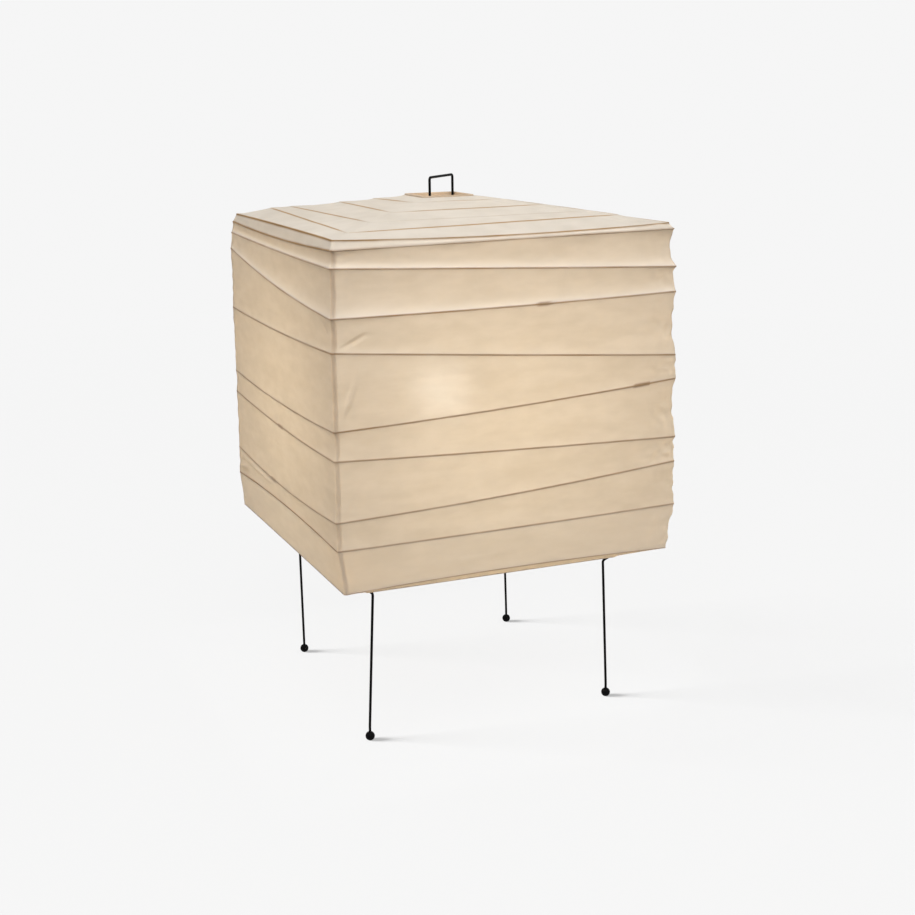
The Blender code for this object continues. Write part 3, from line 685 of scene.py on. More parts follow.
def rib_ring(name, way, bows=ZEROS, spreads=(0.0, 0.0), lifts=ZEROS):
    """The ring on the paper over one rib of the frame, with the place where the rib's ends lap.

    spreads moves its front right and back left corners outward, and lifts moves all four up."""
    points = [vertex.co for vertex in frame["nodes"][name].data.vertices]
    across, rise = way
    out = across * RIB_DEPTH - RIB_RADIUS
    corners = []
    for x, y in CORNER_SIGNS:
        reach = max(point.x * x + point.y * y for point in points) - CORNER_REACH
        near = [point for point in points if point.x * x + point.y * y > reach]
        points = [point for point in points if point.x * x + point.y * y <= reach]
        corners.append(Vector((
            x * (max(point.x * x for point in near) + out),
            y * (max(point.y * y for point in near) + out),
            sum(point.z for point in near) / len(near) - rise * RIB_DEPTH,
        )))
    middle = sum(points, Vector()) / len(points)
    misses = []
    for face in range(4):
        start = corners[face]
        run = corners[(face + 1) % 4] - start
        share = (middle - start).dot(run) / run.length_squared
        misses.append(((start + run * share - middle).length, face, share))
    ring = Ring(corners, way, bows, name)
    ring.lap_face, ring.lap_share = min(misses)[1:]
    outward = (0.0, spreads[0], 0.0, spreads[1])
    for corner, (x, y), spread, lift in zip(corners, CORNER_SIGNS, outward, lifts):
        corner += Vector((x * spread, y * spread, lift))
    return ring


def ease(value):
    """A smooth step from 0 to 1."""
    value = min(1.0, max(0.0, value))
    return value * value * (3 - 2 * value)


def crease(place, start, end, height):
    """How far one crease stands out at a place on a face. It fades at both ends."""
    run = end - start
    share = (place - start).dot(run) / run.length_squared
    if share <= 0 or share >= 1:
        return 0.0
    away = (place - start - run * share).length / CREASE_WIDTH
    return height * math.sin(math.pi * share) * math.exp(-away * away)


def by_corner(values, kind, place, share):
    """Each corner's own value at that corner, falling to the least of them along the faces."""
    if kind == "arc":
        return values[place]
    least = min(values)
    corner = values[place if share < 0.5 else (place + 1) % 4]
    near = max(0.0, 1 - CORNER_FALL * min(share, 1 - share))
    return least + (corner - least) * near ** 2


def rise_in(gap, row):
    """How far up a row lies in a band of a given height."""
    return row[1] * (1 - row[2]) + (gap - row[1]) * row[2]


def window(rise, gap):
    """1 in the middle of a band, and 0 at its two ribs."""
    return 1 - abs(2 * rise / gap - 1) ** WINDOW_POWER


def paper_depth(gap, rise, draw, hang):
    """How far the paper lies inside the straight line between two ribs."""
    belly = draw * (1 - abs(2 * rise / gap - 1) ** SAG_POWER)
    slack = hang * (1 - rise / gap) * (1 - math.exp(-rise / min(HANG_REACH, gap / 4)))
    nearest = min(rise, gap - rise)
    return belly + slack + TUCK * (1 - math.exp(-nearest / TUCK_REACH))


@dataclass
class Zone:
    """Paper between a stack of rings: the sides, the top or the bottom of the shade."""

    name: str
    rings: list
    lines: tuple
    draws: list
    seed: float
    tab: float = 0.0
    creases: tuple = ()
    dents: tuple = ()
    hip_fades: tuple = ZEROS
    line_half: float = SIDE_LINE
    face_lines: tuple = (ONES, ONES)
    lit: float = 1.0
    hangs: tuple = (0.0,) * (SIDE_RIBS + 1)
    # The painted highlight over the lowest band by corner and above each rib by band, and the light let
    # through the lowest band
    first_pale: tuple = ZEROS
    first_lit: tuple = ONES
    pale_shares: tuple = (0.0,) * (SIDE_RIBS + 1)

    def rows(self):
        """Each row as its band, an offset from the two ribs and a share of what lies between."""
        rows = []
        edge = RIB_ROWS[-1]
        for band, (low, high) in enumerate(zip(self.rings, self.rings[1:])):
            gaps = [(b - a).length for a, b in zip(low.corners, high.corners)]
            steps = max(3, math.ceil((max(gaps) - 2 * edge) / ROW_STEP))
            rows += [(band, offset, 0.0) for offset in RIB_ROWS]
            rows += [(band, edge, step / steps) for step in range(1, steps)]
            rows += [(band, offset, 1.0) for offset in reversed(RIB_ROWS)]
            if band < len(self.rings) - 2:
                rows.pop()
        return rows

    def inward(self, band, share, sign):
        """The way into the shade at a share of a band, for a corner or for a face."""
        low, high = self.rings[band].way, self.rings[band + 1].way
        across, rise = [a + (b - a) * share for a, b in zip(low, high)]
        return Vector((-sign[0] * across, -sign[1] * across, rise))

    def corner(self, row, index):
        """The sharp corner of a row before rounding: its place, and how deep it lies."""
        band = row[0]
        low, high = self.rings[band].corners[index], self.rings[band + 1].corners[index]
        gap = (high - low).length
        rise = rise_in(gap, row)
        point = low.lerp(high, rise / gap)
        place = Vector((self.seed + CORNER_SEED * index, point.z / CRUMPLE_SIZE, OFF_GRID))
        bend = CRUMPLE_HEIGHT[index] * noise.noise(place)
        for owner, height, deep in self.dents:
            if owner == index:
                bend += deep * math.exp(-((point.z - height) / DENT_REACH) ** 2)
        depth = paper_depth(gap, rise, self.draws[band][index], 0.0) + bend * window(rise, gap)
        return point + self.inward(band, rise / gap, CORNER_SIGNS[index]) * depth, depth

    def relief(self, face, along, width, height):
        """Waves, ripples, crumples and creases of the paper, outward."""
        seed = self.seed + FACE_SEED * face
        edge = min(along, width - along)
        wave = noise.noise(Vector((along / WAVE_SIZE, height / WAVE_SIZE * WAVE_SQUASH, seed)))
        ripple = noise.noise(Vector((along / RIPPLE_SIZE, height / RIPPLE_SIZE, seed + RIPPLE_SEED)))
        broad = (WAVE_HEIGHT * wave + RIPPLE_HEIGHT * ripple) * ease(edge / CRUMPLE_REACH)
        sharp = 0.0
        for distance, index in ((along, face), (width - along, (face + 1) % 4)):
            place = Vector((distance / CRUMPLE_SIZE, height / CRUMPLE_SIZE, seed + CRUMPLE_SEED + index))
            sharp += CRUMPLE_HEIGHT[index] * noise.noise(place) * math.exp(-distance / CRUMPLE_REACH)
        for owner, start, end, high in self.creases:
            if owner == FACES[face]:
                sharp += crease(Vector((along, height)), start, end, high)
        return broad + sharp * ease(edge / CORNER_FADE)

    def face_point(self, row, corners, face, share):
        """A point of a row on the straight run of a face, and the way out there."""
        band = row[0]
        after = (face + 1) % 4
        low, high = self.rings[band].run(face, share), self.rings[band + 1].run(face, share)
        gap = (high - low).length
        rise = rise_in(gap, row)
        (start, start_depth), (end, end_depth) = corners[face], corners[after]
        along = (end - start).xy.to_3d().normalized()
        start = start + along * CORNER_ROUND
        end = end - along * CORNER_ROUND
        width = (end - start).length
        inward = self.inward(band, rise / gap, (along.y, -along.x))
        taken = start_depth + (end_depth - start_depth) * share
        point = start.lerp(end, share)
        point.z = low.lerp(high, rise / gap).z + inward.z * taken
        near = (2 * share - 1) ** WINDOW_POWER
        draw = self.draws[band][face if share < 0.5 else after] * near
        depth = paper_depth(gap, rise, draw, self.hangs[band] * (1 - near))
        out = self.relief(face, share * width, width, point.z) * window(rise, gap)
        return point + inward * (depth - taken - out), -inward.normalized()

    def arc_point(self, row, corners, index, turn):
        """A point of a row on the round corner, and the way out there. turn runs from 0 to 1."""
        corner = corners[index][0]
        back, ahead = [(corners[other % 4][0] - corner).xy.to_3d().normalized()
                       for other in (index - 1, index + 1)]
        angle = turn * math.pi / 2
        out = -ahead * math.cos(angle) - back * math.sin(angle)
        point = corner + (back + ahead + out) * CORNER_ROUND
        return point, -self.inward(row[0], row[2], out.xy).normalized()

    def columns(self, face):
        """Each column of a sheet: its kind, its corner or face, the place there, and its lift over a lap."""
        after = (face + 1) % 4
        width = self.rings[0].width(face) - 2 * CORNER_ROUND
        ends = [step * NEAR_COLUMN for step in range(round(NEAR_REACH / NEAR_COLUMN) + 1)]
        middle = width - 2 * NEAR_REACH
        count = math.ceil(middle / FAR_COLUMN)
        places = ends + [NEAR_REACH + middle * step / count for step in range(1, count)]
        places += [width - place for place in reversed(ends)]
        half = RIB_LAP / 2
        for ring in self.rings:
            if ring.lap_face == face:
                steps = (-half - SIDE_LINE, -half, 0, half, half + SIDE_LINE)
                places += [ring.lap_share * width + step for step in steps]
        columns = [("arc", face, turn, 0.0) for turn in (0.5, 0.75)]
        columns += [("face", face, place / width, 0.0) for place in sorted(places)]
        if not self.tab:
            return columns + [("arc", after, turn, 0.0) for turn in (0.25, 0.5)]
        for step in range(1, ARC_STEPS + 1):
            turn = step / ARC_STEPS
            columns.append(("arc", after, turn, LAP_RISE * min(1.0, LAP_STEEP * turn)))
        for step in range(1, TAB_STEPS + 1):
            columns.append(("tab", after, self.tab * step / TAB_STEPS / width, LAP_RISE))
        return columns

    def line_strength(self, row, kind, place, share):
        """How strongly the rib shows through at a point: 1 on the rib, 0 away from it."""
        band, offset, middle = row
        if middle not in (0.0, 1.0):
            return 0.0
        index = band + round(middle)
        ring = self.rings[index]
        lapped = kind != "arc" and ring.lap_distance(place, share) <= RIB_LAP / 2
        reach = self.line_half * (LAP_LINE if lapped else 1)
        if offset > 2 * reach:
            return 0.0
        edge = LAP_EDGE if lapped else LINE_EDGE
        strength = self.lines[index] * (1.0 if offset <= reach else edge)
        if kind == "arc":
            return strength * (HIP_LINE if self.hip_fades[place] and index > 1 else 1.0)
        width = ring.width(place)
        for distance, corner in ((share * width, place), ((1 - share) * width, (place + 1) % 4)):
            if self.hip_fades[corner] and index > 1:
                strength *= HIP_LINE + (1 - HIP_LINE) * ease(distance / self.hip_fades[corner])
        return strength * self.face_lines[index][place]

    def stretch(self, row, kind, place, share):
        """How strong the painted highlight is at a point: the corner's value over the lowest band, elsewhere
        the band's share just above the rib below, fading further up.
        """
        band = row[0]
        if band == 0:
            return by_corner(self.first_pale, kind, place, share)
        low, high = self.rings[band].corners, self.rings[band + 1].corners
        gap = sum((b - a).length for a, b in zip(low, high)) / 4
        return self.pale_shares[band] * math.exp(-rise_in(gap, row) / min(PALE_REACH, gap / 4))

    def sheet(self, face):
        """One closed thin sheet of paper over a face, with its tab on the next face."""
        bm = bmesh.new()
        layers = [bm.verts.layers.float.new(name) for name in ("rib", "glow", "painted_highlight")]
        line, glow, painted_highlight = layers
        columns = self.columns(face)
        grid = []
        for row in self.rows():
            corners = [self.corner(row, index) for index in range(4)]
            wander = noise.noise(Vector((self.seed, face, corners[face][0].z / WAVE_SIZE)))
            verts = []
            for kind, place, where, lift in columns:
                if kind == "tab":
                    where *= 1 + TAB_WANDER * wander
                find = self.arc_point if kind == "arc" else self.face_point
                point, out = find(row, corners, place, where)
                vert = bm.verts.new(point + out * lift)
                vert[line] = self.line_strength(row, kind, place, where)
                vert[glow] = self.lit if row[0] else by_corner(self.first_lit, kind, place, where)
                vert[painted_highlight] = self.stretch(row, kind, place, where)
                # Painted shade on the lapped tab and corner, carried in the rib line's brown
                if lift == LAP_RISE:
                    shown = ease((point.z - LAP_FROM) / (LAP_TO - LAP_FROM))
                    tinge = CORNER_TINTS[place] if kind == "arc" else LAP_TINT * (1 + wander)
                    vert[line] = max(vert[line], tinge * shown)
                    vert[glow] = LAP_GLOW
                verts.append(vert)
            grid.append(verts)
        close_sheet(bm, grid, layers)
        return smooth_mesh(f"{self.name}_{FACES[face]}", bm, 60.0)


def close_sheet(bm, grid, layers):
    """Turn a grid of points into a sheet with two faces and closed edges."""
    def skin(rows, step):
        """Faces over a grid, turned over where step is -1."""
        for low, high in zip(rows, rows[1:]):
            for index in range(len(low) - 1):
                bm.faces.new((low[index], low[index + 1], high[index + 1], high[index])[::step])

    skin(grid, 1)
    bm.normal_update()
    inside = []
    for verts in grid:
        inner = []
        for vert in verts:
            under = bm.verts.new(vert.co - vert.normal * PAPER)
            for layer in layers:
                under[layer] = vert[layer]
            inner.append(under)
        inside.append(inner)
    skin(inside, -1)
    border, below = [
        side[0][:] + [row[-1] for row in side[1:]] + side[-1][-2::-1] + [row[0] for row in side[-2:0:-1]]
        for side in (grid, inside)
    ]
    bridge(bm, below, border)


def end_draws(rings):
    """How far the paper of the top or the bottom draws in at each corner of each band."""
    return [[END_SAG * (b - a).length for a, b in zip(low.corners, high.corners)]
            for low, high in zip(rings, rings[1:])]


def metre_creases():
    """The creases in metres, with their starts and ends as points."""
    for face, *sizes in CREASES:
        along, height, end_along, end_height, out = [size / 1000 for size in sizes]
        yield face, Vector((along, height)), Vector((end_along, end_height)), out


def shade_zones():
    """The paper of the sides, the top and the bottom, and the rings of all ribs, read from the frame."""
    base = rib_ring("rib_base", BASE_WAY, BASE_BOWS, SPREADS[0], BASE_LIFTS)
    side_base = Ring(base.corners, SIDE_WAY, BASE_BOWS)
    sides = [rib_ring(f"rib_side_{number}", SIDE_WAY, RIB_BOWS[number - 1], SPREADS[SIDE_RIBS + 1 - number])
             for number in range(SIDE_RIBS, 0, -1)]
    rim = rib_ring("rib_rim", SIDE_WAY, RIM_BOWS, SPREADS[-2])
    eave = rib_ring("rib_eave", EAVE_WAY, EAVE_BOWS, SPREADS[-1], EAVE_LIFTS)
    tops = [rib_ring(f"rib_top_{number}", TOP_WAY, lifts=lifts) for number, lifts in enumerate(TOP_LIFTS, 1)]
    mouth = flat_ring(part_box("top_frame")[1].x + GAP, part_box("paper_top_front")[1].z, TOP_WAY)
    foot_low, foot_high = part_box("bottom_frame")
    foot = flat_ring(foot_high.x + GAP + PAPER, (foot_low.z + foot_high.z) / 2 - FOOT_HANG, FOOT_WAY)
    side_draws = [[draw * share for share in CORNER_SHARES] for draw in SIDE_DRAWS]
    face_lines = [SIDE_FACE_LINES] * len(SIDE_LINES)
    face_lines[1] = LOWEST_FACE_LINES
    side = Zone("side", [side_base, *sides, rim], SIDE_LINES, side_draws, 1.0, SIDE_TAB,
                creases=tuple(metre_creases()), dents=CORNER_DENTS, face_lines=face_lines, hangs=SIDE_HANGS,
                first_pale=PALE_BASE, first_lit=BASE_LIT, pale_shares=PALE_BANDS)
    top_rings = [rim, eave, *tops, mouth]
    top = Zone("top", top_rings, TOP_LINES, end_draws(top_rings), 2.0, hip_fades=HIP_FADES,
               line_half=TOP_LINE, face_lines=[(front, *TOP_OTHER_LINES) for front in TOP_FRONT_LINES],
               lit=0.0, first_pale=PALE_EAVE, first_lit=EAVE_LIT)
    foot_rings = [foot, side_base]
    bottom = Zone("bottom", foot_rings, BOTTOM_LINES, end_draws(foot_rings), 3.0, first_lit=BOTTOM_LIT)
    return side, top, bottom, [base, rim, eave, *reversed(sides), *tops]


def make_paper(side, top, bottom):
    """Twelve sheets of paper: four sides, four slopes of the top and four of the bottom."""
    for index, face in enumerate(FACES):
        for zone, name in ((side, face), (top, f"top_{face}"), (bottom, f"bottom_{face}")):
            piece(f"sheet_{name}", zone.sheet(index), "shade", "shade_paper", f"paper_{name}")


def rounded_path(points, bend, step=math.radians(10)):
    """A polyline with each corner replaced by an arc."""
    path = [points[0]]
    for before, corner, after in zip(points, points[1:], points[2:]):
        back = (before - corner).normalized()
        ahead = (after - corner).normalized()
        turn = math.pi - back.angle(ahead)
        if turn < step / 2:
            path.append(corner)
            continue
        reach = bend * math.tan(turn / 2)
        centre = corner + (back + ahead).normalized() * (bend / math.cos(turn / 2))
        start = corner + back * reach - centre
        axis = start.cross(corner + ahead * reach - centre).normalized()
        count = math.ceil(turn / step)
        path += [centre + Quaternion(axis, turn * index / count) @ start for index in range(count + 1)]
    return path + [points[-1]]


def filled_path(points, spacing):
    """The same path with more points on its long straight runs."""
    filled = [points[0]]
    for start, end in zip(points, points[1:]):
        count = max(1, round((end - start).length / spacing))
        filled += [start.lerp(end, index / count) for index in range(1, count + 1)]
    return filled


def rod(name, points, radius, sides, swell=None):
    """A round rod along a path as a curve. swell gives each point's share of the radius."""
    curve = bpy.data.curves.new(name, "CURVE")
    curve.dimensions = "3D"
    curve.bevel_depth = radius
    curve.bevel_resolution = sides
    curve.use_fill_caps = True
    spline = curve.splines.new("POLY")
    spline.points.add(len(points) - 1)
    for index, point in enumerate(points):
        spline.points[index].co = (*point, 1)
        spline.points[index].radius = swell[index] if swell else 1.0
    spline.use_smooth = True
    return curve


def rib_path(ring):
    """The middle of a rib, from one lapped end round the four corners to the other."""
    across, rise = ring.way
    inward = [Vector((-x * across, -y * across, rise)) for x, y in CORNER_SIGNS]
    corners = [corner + way * RIB_DEPTH for corner, way in zip(ring.corners, inward)]
    middle_line = Ring(corners, ring.way, ring.bows)
    first = ring.lap_face
    second = (first + 1) % 4
    run = corners[second] - corners[first]
    run.z -= 4 * ring.bows[first] * (1 - 2 * ring.lap_share)
    into = (inward[first] + inward[second]).normalized()
    pitch = 2 * RIB_RADIUS + GAP
    aside = run.cross(into).normalized() * pitch / 2
    shifts = (into * LAP_TUCK + aside, into * LAP_TUCK - aside)
    if ring.name in STACKED_RIBS:
        shifts = (Vector(), into * pitch)

    def along(face, start, end):
        """Points on the bowed rib between two shares of a face."""
        shares = [step / BOW_STEPS for step in range(1, BOW_STEPS) if start < step / BOW_STEPS < end]
        return [middle_line.run(face, share) for share in shares]

    middle = middle_line.run(first, ring.lap_share)
    half = run.normalized() * RIB_LAP / 2
    clear = LAP_CLEAR * RIB_LAP / run.length
    starts, ends = [[middle - half + shift, middle + half + shift] for shift in shifts]
    points = starts + along(first, ring.lap_share + clear, 1)
    for turn in range(1, 4):
        face = (first + turn) % 4
        points += [corners[face]] + along(face, 0, 1)
    points += [corners[first]] + along(first, 0, ring.lap_share - clear) + ends
    return filled_path(rounded_path(points, RIB_BEND), RIB_SPACING)


def make_ribs(rings):
    """Each rib as a split strip of slightly uneven thickness, with a knuckle here and there."""
    for number, ring in enumerate(rings):
        path = rib_path(ring)
        draw = random.Random(number)
        knuckle = draw.randrange(KNUCKLE_EVERY)
        swell = []
        for index in range(len(path)):
            bulge = KNUCKLE if index % KNUCKLE_EVERY == knuckle else 0.0
            swell.append(RIB_THIN + RIB_UNEVEN * draw.random() + bulge)
        strip = rod(ring.name, path, RIB_RADIUS, RIB_SIDES, swell)
        piece(f"strip_{ring.name}", strip, "shade", "rib_bamboo", ring.name)


def rounded_square(half, bend):
    """The outline of a square with round corners."""
    outline = []
    for index, (x, y) in enumerate(CORNER_SIGNS):
        for step in range(FRAME_CORNER_STEPS + 1):
            angle = math.pi + (index + step / FRAME_CORNER_STEPS) * math.pi / 2
            outline.append((x * (half - bend) + bend * math.cos(angle),
                            y * (half - bend) + bend * math.sin(angle)))
    return outline


def make_frame(name, bar):
    """One square frame with round corners and eased edges."""
    low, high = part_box(name)
    outer, inner = high.x, high.x - bar
    section = (
        (outer - FRAME_EASE, low.z), (outer, low.z + FRAME_EASE), (outer, high.z - FRAME_EASE),
        (outer - FRAME_EASE, high.z), (inner + FRAME_EASE, high.z), (inner, high.z - FRAME_EASE),
        (inner, low.z + FRAME_EASE), (inner + FRAME_EASE, low.z),
    )
    bm = bmesh.new()
    loops = []
    for half, height in section:
        outline = rounded_square(half, FRAME_BEND + half - inner)
        loops.append([bm.verts.new((x, y, height)) for x, y in outline])
    for here, there in zip(loops, loops[1:] + loops[:1]):
        bridge(bm, here, there)
    bmesh.ops.recalc_face_normals(bm, faces=bm.faces)
    piece(f"bars_{name}", smooth_mesh(name, bm, 40.0), "shade", "rib_bamboo", name, "pale_bamboo")


def eased(outline, bend, spacing=math.inf):
    """A closed outline of (radius, height) with its corners rounded, apart from those on the axis."""
    points = [Vector((radius, 0, height)) for radius, height in outline]
    on_axis = outline[0][0] == 0
    if not on_axis:
        middle = (points[0] + points[1]) / 2
        points = [middle] + points[1:] + [points[0], middle]
    path = rounded_path(points, bend, math.radians(22.5))
    if spacing < math.inf:
        path = filled_path(path, spacing)
    return [(point.x, point.z) for point in (path if on_axis else path[:-1])]


def turned(name, outline, steps, ripple=None, place=(0, 0)):
    """A closed outline of (radius, height) turned about a vertical axis. ripple changes the radius."""
    bm = bmesh.new()
    rings = []
    for radius, height in outline:
        ring = []
        for step in range(steps if radius > 0 else 1):
            angle = 2 * math.pi * step / steps
            reach = radius + ripple(angle, radius, height) if ripple else radius
            x, y = place[0] + reach * math.cos(angle), place[1] + reach * math.sin(angle)
            ring.append(bm.verts.new((x, y, height)))
        rings.append(ring)
    for here, there in zip(rings, rings[1:] + rings[:1]):
        for step in range(steps):
            after = step + 1
            loop = []
            for ring, index in ((here, step), (here, after), (there, after), (there, step)):
                vert = ring[index % len(ring)]
                if vert not in loop:
                    loop.append(vert)
            if len(loop) > 2:
                bm.faces.new(loop)
    bmesh.ops.recalc_face_normals(bm, faces=bm.faces)
    return smooth_mesh(name, bm, 35.0)


def lathe(name, outline, ripple=None):
    """One turned piece, as its line in the table of them says."""
    node, body, slot, steps, *easing = TURNED[name]
    if easing:
        outline = eased(outline, *easing)
    return piece(f"turned_{name}", turned(name, outline, steps, ripple), body, slot, node)


def wave(angle):
    """A wave from 0 up to 1 and back."""
    return 0.5 - 0.5 * math.cos(angle)


def screw(pitch, depth, low, high, least):
    """A ripple that cuts a round thread into every radius above the least, fading at both ends."""
    def ripple(angle, radius, height):
        if radius < least:
            return 0.0
        fade = ease((height - low) / pitch) * ease((high - height) / pitch)
        return -depth * fade * wave(2 * math.pi * height / pitch - angle)
    return ripple


def nut_flats(width, low, high):
    """A ripple that gives a nut its six flats, with the corners turned off at both ends."""
    def ripple(angle, radius, height):
        if radius < width / 2:
            return 0.0
        flat = width / 2 / math.cos(angle % (math.pi / 3) - math.pi / 6)
        cone = width / 2 + min(height - low, high - height) / math.tan(NUT_SLOPE)
        return min(flat, cone) - radius
    return ripple


def bent_wire(name, node, points, bend):
    """One wire of the stand along a bent path."""
    path = filled_path(rounded_path(points, bend, WIRE_TURN), WIRE_SPACING)
    return piece(name, rod(node, path, WIRE_RADIUS, WIRE_SIDES), "stand", "black_wire", node)


def make_feet():
    """The four leg wires, each with its ball foot."""
    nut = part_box("stem_nut_upper")[1].x
    start = (nut + WIRE_END_GAP) / math.sqrt(2)
    frame_low, frame_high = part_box("bottom_frame")
    hook = frame_high.x - BOTTOM_FRAME_BAR - GAP - WIRE_RADIUS
    leg = hook - HOOK_REACH
    hook_low = (frame_low.z + frame_high.z) / 2 - HOOK_DROP
    casters = []
    for corner, (x, y) in zip(CORNERS, CORNER_SIGNS):
        low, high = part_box(f"leg_{corner}")
        foot_low, foot_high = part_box(f"foot_{corner}")
        foot = (foot_low + foot_high) / 2
        arm = high.z - WIRE_RADIUS
        points = [Vector((foot.x, foot.y, low.z)), Vector((foot.x, foot.y, LEG_STRAIGHT))]
        upper = ((leg, hook_low), (hook, hook_low + HOOK_RAMP), (hook, arm), (start, arm))
        points += [Vector((x * out, y * out, height)) for out, height in upper]
        casters.append(bent_wire(f"wire_leg_{corner}", f"leg_{corner}", points, LEG_BEND))
        outline = foot_outline((foot_high.x - foot_low.x) / 2, low.z - GAP)
        ball = turned("foot", outline, FOOT_STEPS, place=(foot.x, foot.y))
        casters.append(piece(f"ball_foot_{corner}", ball, "stand", "black_rubber", f"foot_{corner}"))
    return casters


def foot_outline(radius, hole_floor):
    """A ball with a small flat under it and a blind hole for the wire."""
    centre = radius - FOOT_FLAT
    hole = WIRE_RADIUS + GAP
    first = math.acos(centre / radius)
    last = math.pi - math.asin(hole / radius)
    outline = [(0, 0)]
    for row in range(FOOT_ROWS + 1):
        angle = first + (last - first) * row / FOOT_ROWS
        outline.append((radius * math.sin(angle), centre - radius * math.cos(angle)))
    return outline + [(hole, hole_floor), (0, hole_floor)]


def make_stretcher():
    """One wire from the plate up both sides of the bulb: shoulders for the top frame, then a handle."""
    low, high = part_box("stretcher_wire")
    frame_low, frame_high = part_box("top_frame")
    offset = 2 * WIRE_RADIUS + GAP
    along = Vector((1, 1, 0)).normalized()
    beside = Vector((1, -1, 0)).normalized() * offset
    skew = offset / math.sqrt(2)
    handle = (frame_high.x - TOP_FRAME_BAR - skew) * math.sqrt(2) - STRETCHER_BEND - HANDLE_GAP
    upright = (frame_high.x - skew) * math.sqrt(2) + SHOULDER_REACH
    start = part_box("stem_nut_upper")[1].x + WIRE_END_GAP + WIRE_RADIUS
    arm = low.z + WIRE_RADIUS
    shoulder = frame_low.z - GAP - WIRE_RADIUS
    outline = [(start, arm), (upright, arm), (upright, shoulder), (handle, shoulder),
               (handle, high.z - WIRE_RADIUS)]
    points = [beside - along * out + Vector((0, 0, height)) for out, height in outline]
    points += [beside + along * out + Vector((0, 0, height)) for out, height in reversed(outline)]
    bent_wire("wire_stretcher", "stretcher_wire", points, STRETCHER_BEND)


def make_stem():
    """The plate under the wires, the threaded stem through it, its nuts and the cord gland."""
    low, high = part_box("stem_tube")
    radius = high.x
    hole = radius + GAP
    rows = math.ceil((high.z - low.z) / STEM_PITCH * STEM_ROWS)
    stem = [(radius, high.z + (low.z - high.z) * row / rows) for row in range(rows + 1)]
    stem += [(STEM_BORE, low.z), (STEM_BORE, high.z)]
    lathe("stem", stem, screw(STEM_PITCH, STEM_THREAD, low.z, high.z, radius))

    low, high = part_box("holder_plate")
    lathe("plate", [(high.x, high.z), (high.x, low.z), (hole, low.z), (hole, high.z)])

    for name in ("stem_nut_upper", "stem_nut_lower"):
        low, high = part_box(name)
        width = 2 * high.x * math.cos(math.pi / 6)
        chamfer = (high.x - width / 2) * math.tan(NUT_SLOPE)
        rise = [chamfer * row / NUT_ROWS for row in range(NUT_ROWS + 1)]
        nut = [(high.x, high.z - step) for step in rise] + [(high.x, low.z + step) for step in reversed(rise)]
        lathe(name, nut + [(hole, low.z), (hole, high.z)], nut_flats(width, low.z, high.z))

    low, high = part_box("cord_gland")
    ledge = low.z + GLAND_LIP
    lathe("gland", [
        (high.x, high.z), (high.x, low.z + GLAND_CHAMFER), (high.x - GLAND_CHAMFER, low.z),
        (CORD_HOLE, low.z), (CORD_HOLE, ledge), (hole, ledge), (hole, high.z),
    ])


def disc(node, slope=0.0):
    """The outline of a disc the size of a node, which may narrow downwards."""
    low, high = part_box(node)
    return [(0, high.z), (high.x, high.z), (high.x - slope, low.z), (0, low.z)]


def make_holder():
    """The lampholder: a flared cap on the stem, a fluted skirt, and the insert with its shell and contact."""
    low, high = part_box("holder_cap")
    outer = high.x
    inner = outer - HOLDER_WALL
    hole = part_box("stem_tube")[1].x + GAP
    neck = hole + HOLDER_NECK_WALL
    flare_low = low.z + HOLDER_NECK_HEIGHT
    flare_high = flare_low + FLARE_RISE
    lathe("cap", [
        (outer, high.z), (outer, flare_high), (outer - FLARE_REACH, flare_low),
        (neck, flare_low - HOLDER_WALL), (neck, low.z), (hole, low.z), (hole, flare_low),
        (inner - FLARE_REACH, flare_low + HOLDER_WALL),
        (inner, flare_high + HOLDER_WALL / 2), (inner, high.z),
    ])

    foot, top = [corner.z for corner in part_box("holder_skirt")]

    def flutes(angle, radius, height):
        """Flutes on the outside of the skirt, fading at both ends."""
        if radius < inner + HOLDER_WALL / 4:
            return 0.0
        rise = (height - foot) / (top - foot)
        fade = ease((rise - FLUTE_FROM) / FLUTE_FADE) * ease((FLUTE_TO - rise) / FLUTE_FADE)
        return -FLUTE_DEPTH * fade * wave(SKIRT_FLUTES * angle)

    skirt = [(outer - SKIRT_TAPER, top), (outer, foot), (inner, foot), (inner - SKIRT_TAPER, top)]
    lathe("skirt", skirt, flutes)

    lathe("insert", disc("holder_insert"))
    lathe("contact", disc("holder_contact"))
    low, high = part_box("holder_screw_shell")
    bore = high.x - SHELL_WALL
    rows = math.ceil((high.z - low.z) / SCREW_PITCH * SHELL_ROWS)
    rise = [low.z + (high.z - low.z) * row / rows for row in range(rows + 1)]
    shell = [(high.x, height) for height in reversed(rise)] + [(bore, height) for height in rise]
    lathe("shell", shell, screw(SCREW_PITCH, -SCREW_DEPTH, low.z, high.z, bore))


def glass_outline(shrink):
    """The bulb's outline from its crown down to its neck, made smaller by the wall for the inside."""
    low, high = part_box("bulb_glass")
    ball = high.x - shrink
    neck = NECK_RADIUS - shrink
    centre = high.z - high.x
    outline = []
    for row in range(BULB_ROWS + 1):
        angle = BULB_ROUND * row / BULB_ROWS
        outline.append((ball * math.sin(angle), centre + ball * math.cos(angle)))
    wide, top = outline[-1]
    for row in range(1, NECK_ROWS + 1):
        share = 1 - row / NECK_ROWS
        outline.append((neck + (wide - neck) * share ** 2, low.z + (top - low.z) * share))
    return outline


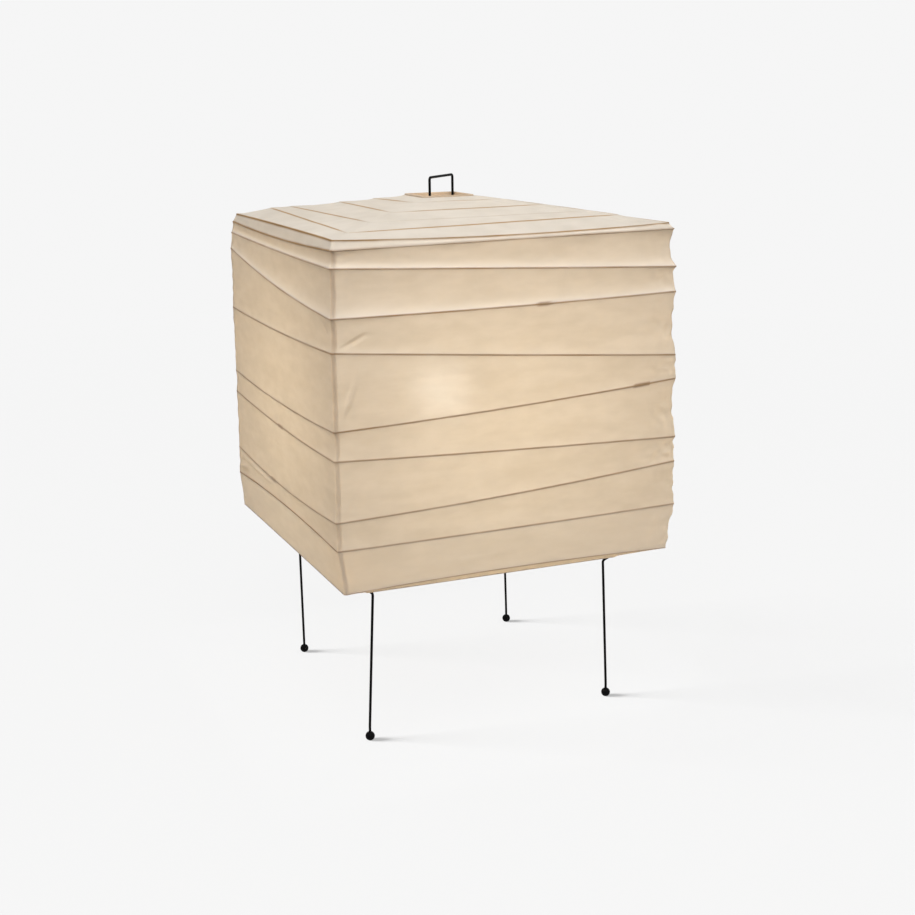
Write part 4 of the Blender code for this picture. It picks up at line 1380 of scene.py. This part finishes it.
def make_bulb():
    """A round bulb: glass, screw cap, insulator and tip."""
    globe = lathe("glass", glass_outline(0) + glass_outline(GLASS_WALL)[::-1])
    globe.visible_shadow = False
    low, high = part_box("bulb_cap")
    thread = screw(SCREW_PITCH, SCREW_DEPTH, low.z, high.z, high.x - SCREW_MARGIN)
    lathe("bulb_cap", disc("bulb_cap"), thread)
    lathe("insulator", disc("bulb_insulator", INSULATOR_SLOPE))
    lathe("tip", disc("bulb_contact", TIP_CHAMFER))


def add_light(name, kind, place, aim, power):
    """One lamp that shines from a place towards an aim."""
    light = bpy.data.lights.new(name, kind)
    light.energy = power
    lamp = placed(name, light)
    turn = (aim - place).to_track_quat("-Z", "Y").to_matrix().to_4x4()
    lamp.matrix_world = Matrix.Translation(place) @ turn
    return lamp


def picture_axes():
    """The camera's own right, down and forward."""
    level = math.cos(CAMERA_PITCH)
    forward = Vector((math.sin(CAMERA_YAW) * level, math.cos(CAMERA_YAW) * level, -math.sin(CAMERA_PITCH)))
    right = Vector((math.cos(CAMERA_YAW), -math.sin(CAMERA_YAW), 0))
    down = forward.cross(right)
    cosine, sine = math.cos(CAMERA_ROLL), math.sin(CAMERA_ROLL)
    return right * cosine + down * sine, down * cosine - right * sine, forward


def make_camera():
    """A camera where the photograph was taken."""
    right, down, forward = picture_axes()
    lens = bpy.data.cameras.new("camera")
    lens.sensor_width = SENSOR
    lens.lens = SENSOR * FOCAL_PIXELS / PICTURE
    camera = placed("camera", lens)
    turn = Matrix((right, -down, -forward)).transposed().to_4x4()
    camera.matrix_world = Matrix.Translation(CAMERA_PLACE) @ turn
    bpy.context.scene.camera = camera


def grouped(name, members):
    """A collection of objects that a light is tied to."""
    group = bpy.data.collections.new(name)
    for member in members:
        group.objects.link(member)
    return group


def make_studio(casters):
    """The surround, the floor, and the lights on the lamp, in the bulb and on the floor alone."""
    scene = bpy.context.scene
    scene.view_settings.view_transform = "Standard"
    key = add_light("key", "AREA", KEY_PLACE, KEY_AIM, KEY_POWER)
    key.data.size = KEY_SIZE

    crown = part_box("bulb_glass")[1]
    ball = Vector((0, 0, crown.z - crown.x + BULB_LIGHT_RISE))
    glow = add_light("bulb_light", "POINT", ball, ball + Vector((0, 0, 1)), BULB_POWER)
    glow.data.shadow_soft_size = BULB_LIGHT_RADIUS
    glow.data.use_soft_falloff = False
    glow.visible_camera = False

    mesh = bpy.data.meshes.new("floor")
    half = FLOOR_SIZE / 2
    mesh.from_pydata([(x * half, y * half, 0) for x, y in CORNER_SIGNS], [], [(0, 1, 2, 3)])
    mesh.materials.append(floor_look())
    floor = placed("floor", mesh)

    right = picture_axes()[0]
    source = Vector((-right.x, -right.y, math.tan(FLOOR_LIGHT_RISE)))
    low_light = add_light("floor_light", "SUN", source, Vector(), FLOOR_LIGHT)
    low_light.data.angle = FLOOR_LIGHT_ANGLE
    low_light.light_linking.receiver_collection = grouped("lit_floor", [floor])
    low_light.light_linking.blocker_collection = grouped("floor_casters", casters)

    world = Look(bpy.data.worlds.new("studio"), "Background", "World Output")
    world.finish(Color=grey(WORLD_LIGHT))
    shown = world.add("ShaderNodeBackground", {"Color": grey(BACKGROUND)})
    scene.world = world.show(world.mix(world.seen_rays(), world.shader, shown))


def main():
    side, top, bottom, rings = shade_zones()
    make_paper(side, top, bottom)
    make_ribs(rings)
    make_frame("top_frame", TOP_FRAME_BAR)
    make_frame("bottom_frame", BOTTOM_FRAME_BAR)
    casters = make_feet()
    make_stretcher()
    make_stem()
    make_holder()
    make_bulb()
    make_camera()
    make_studio(casters)


main()
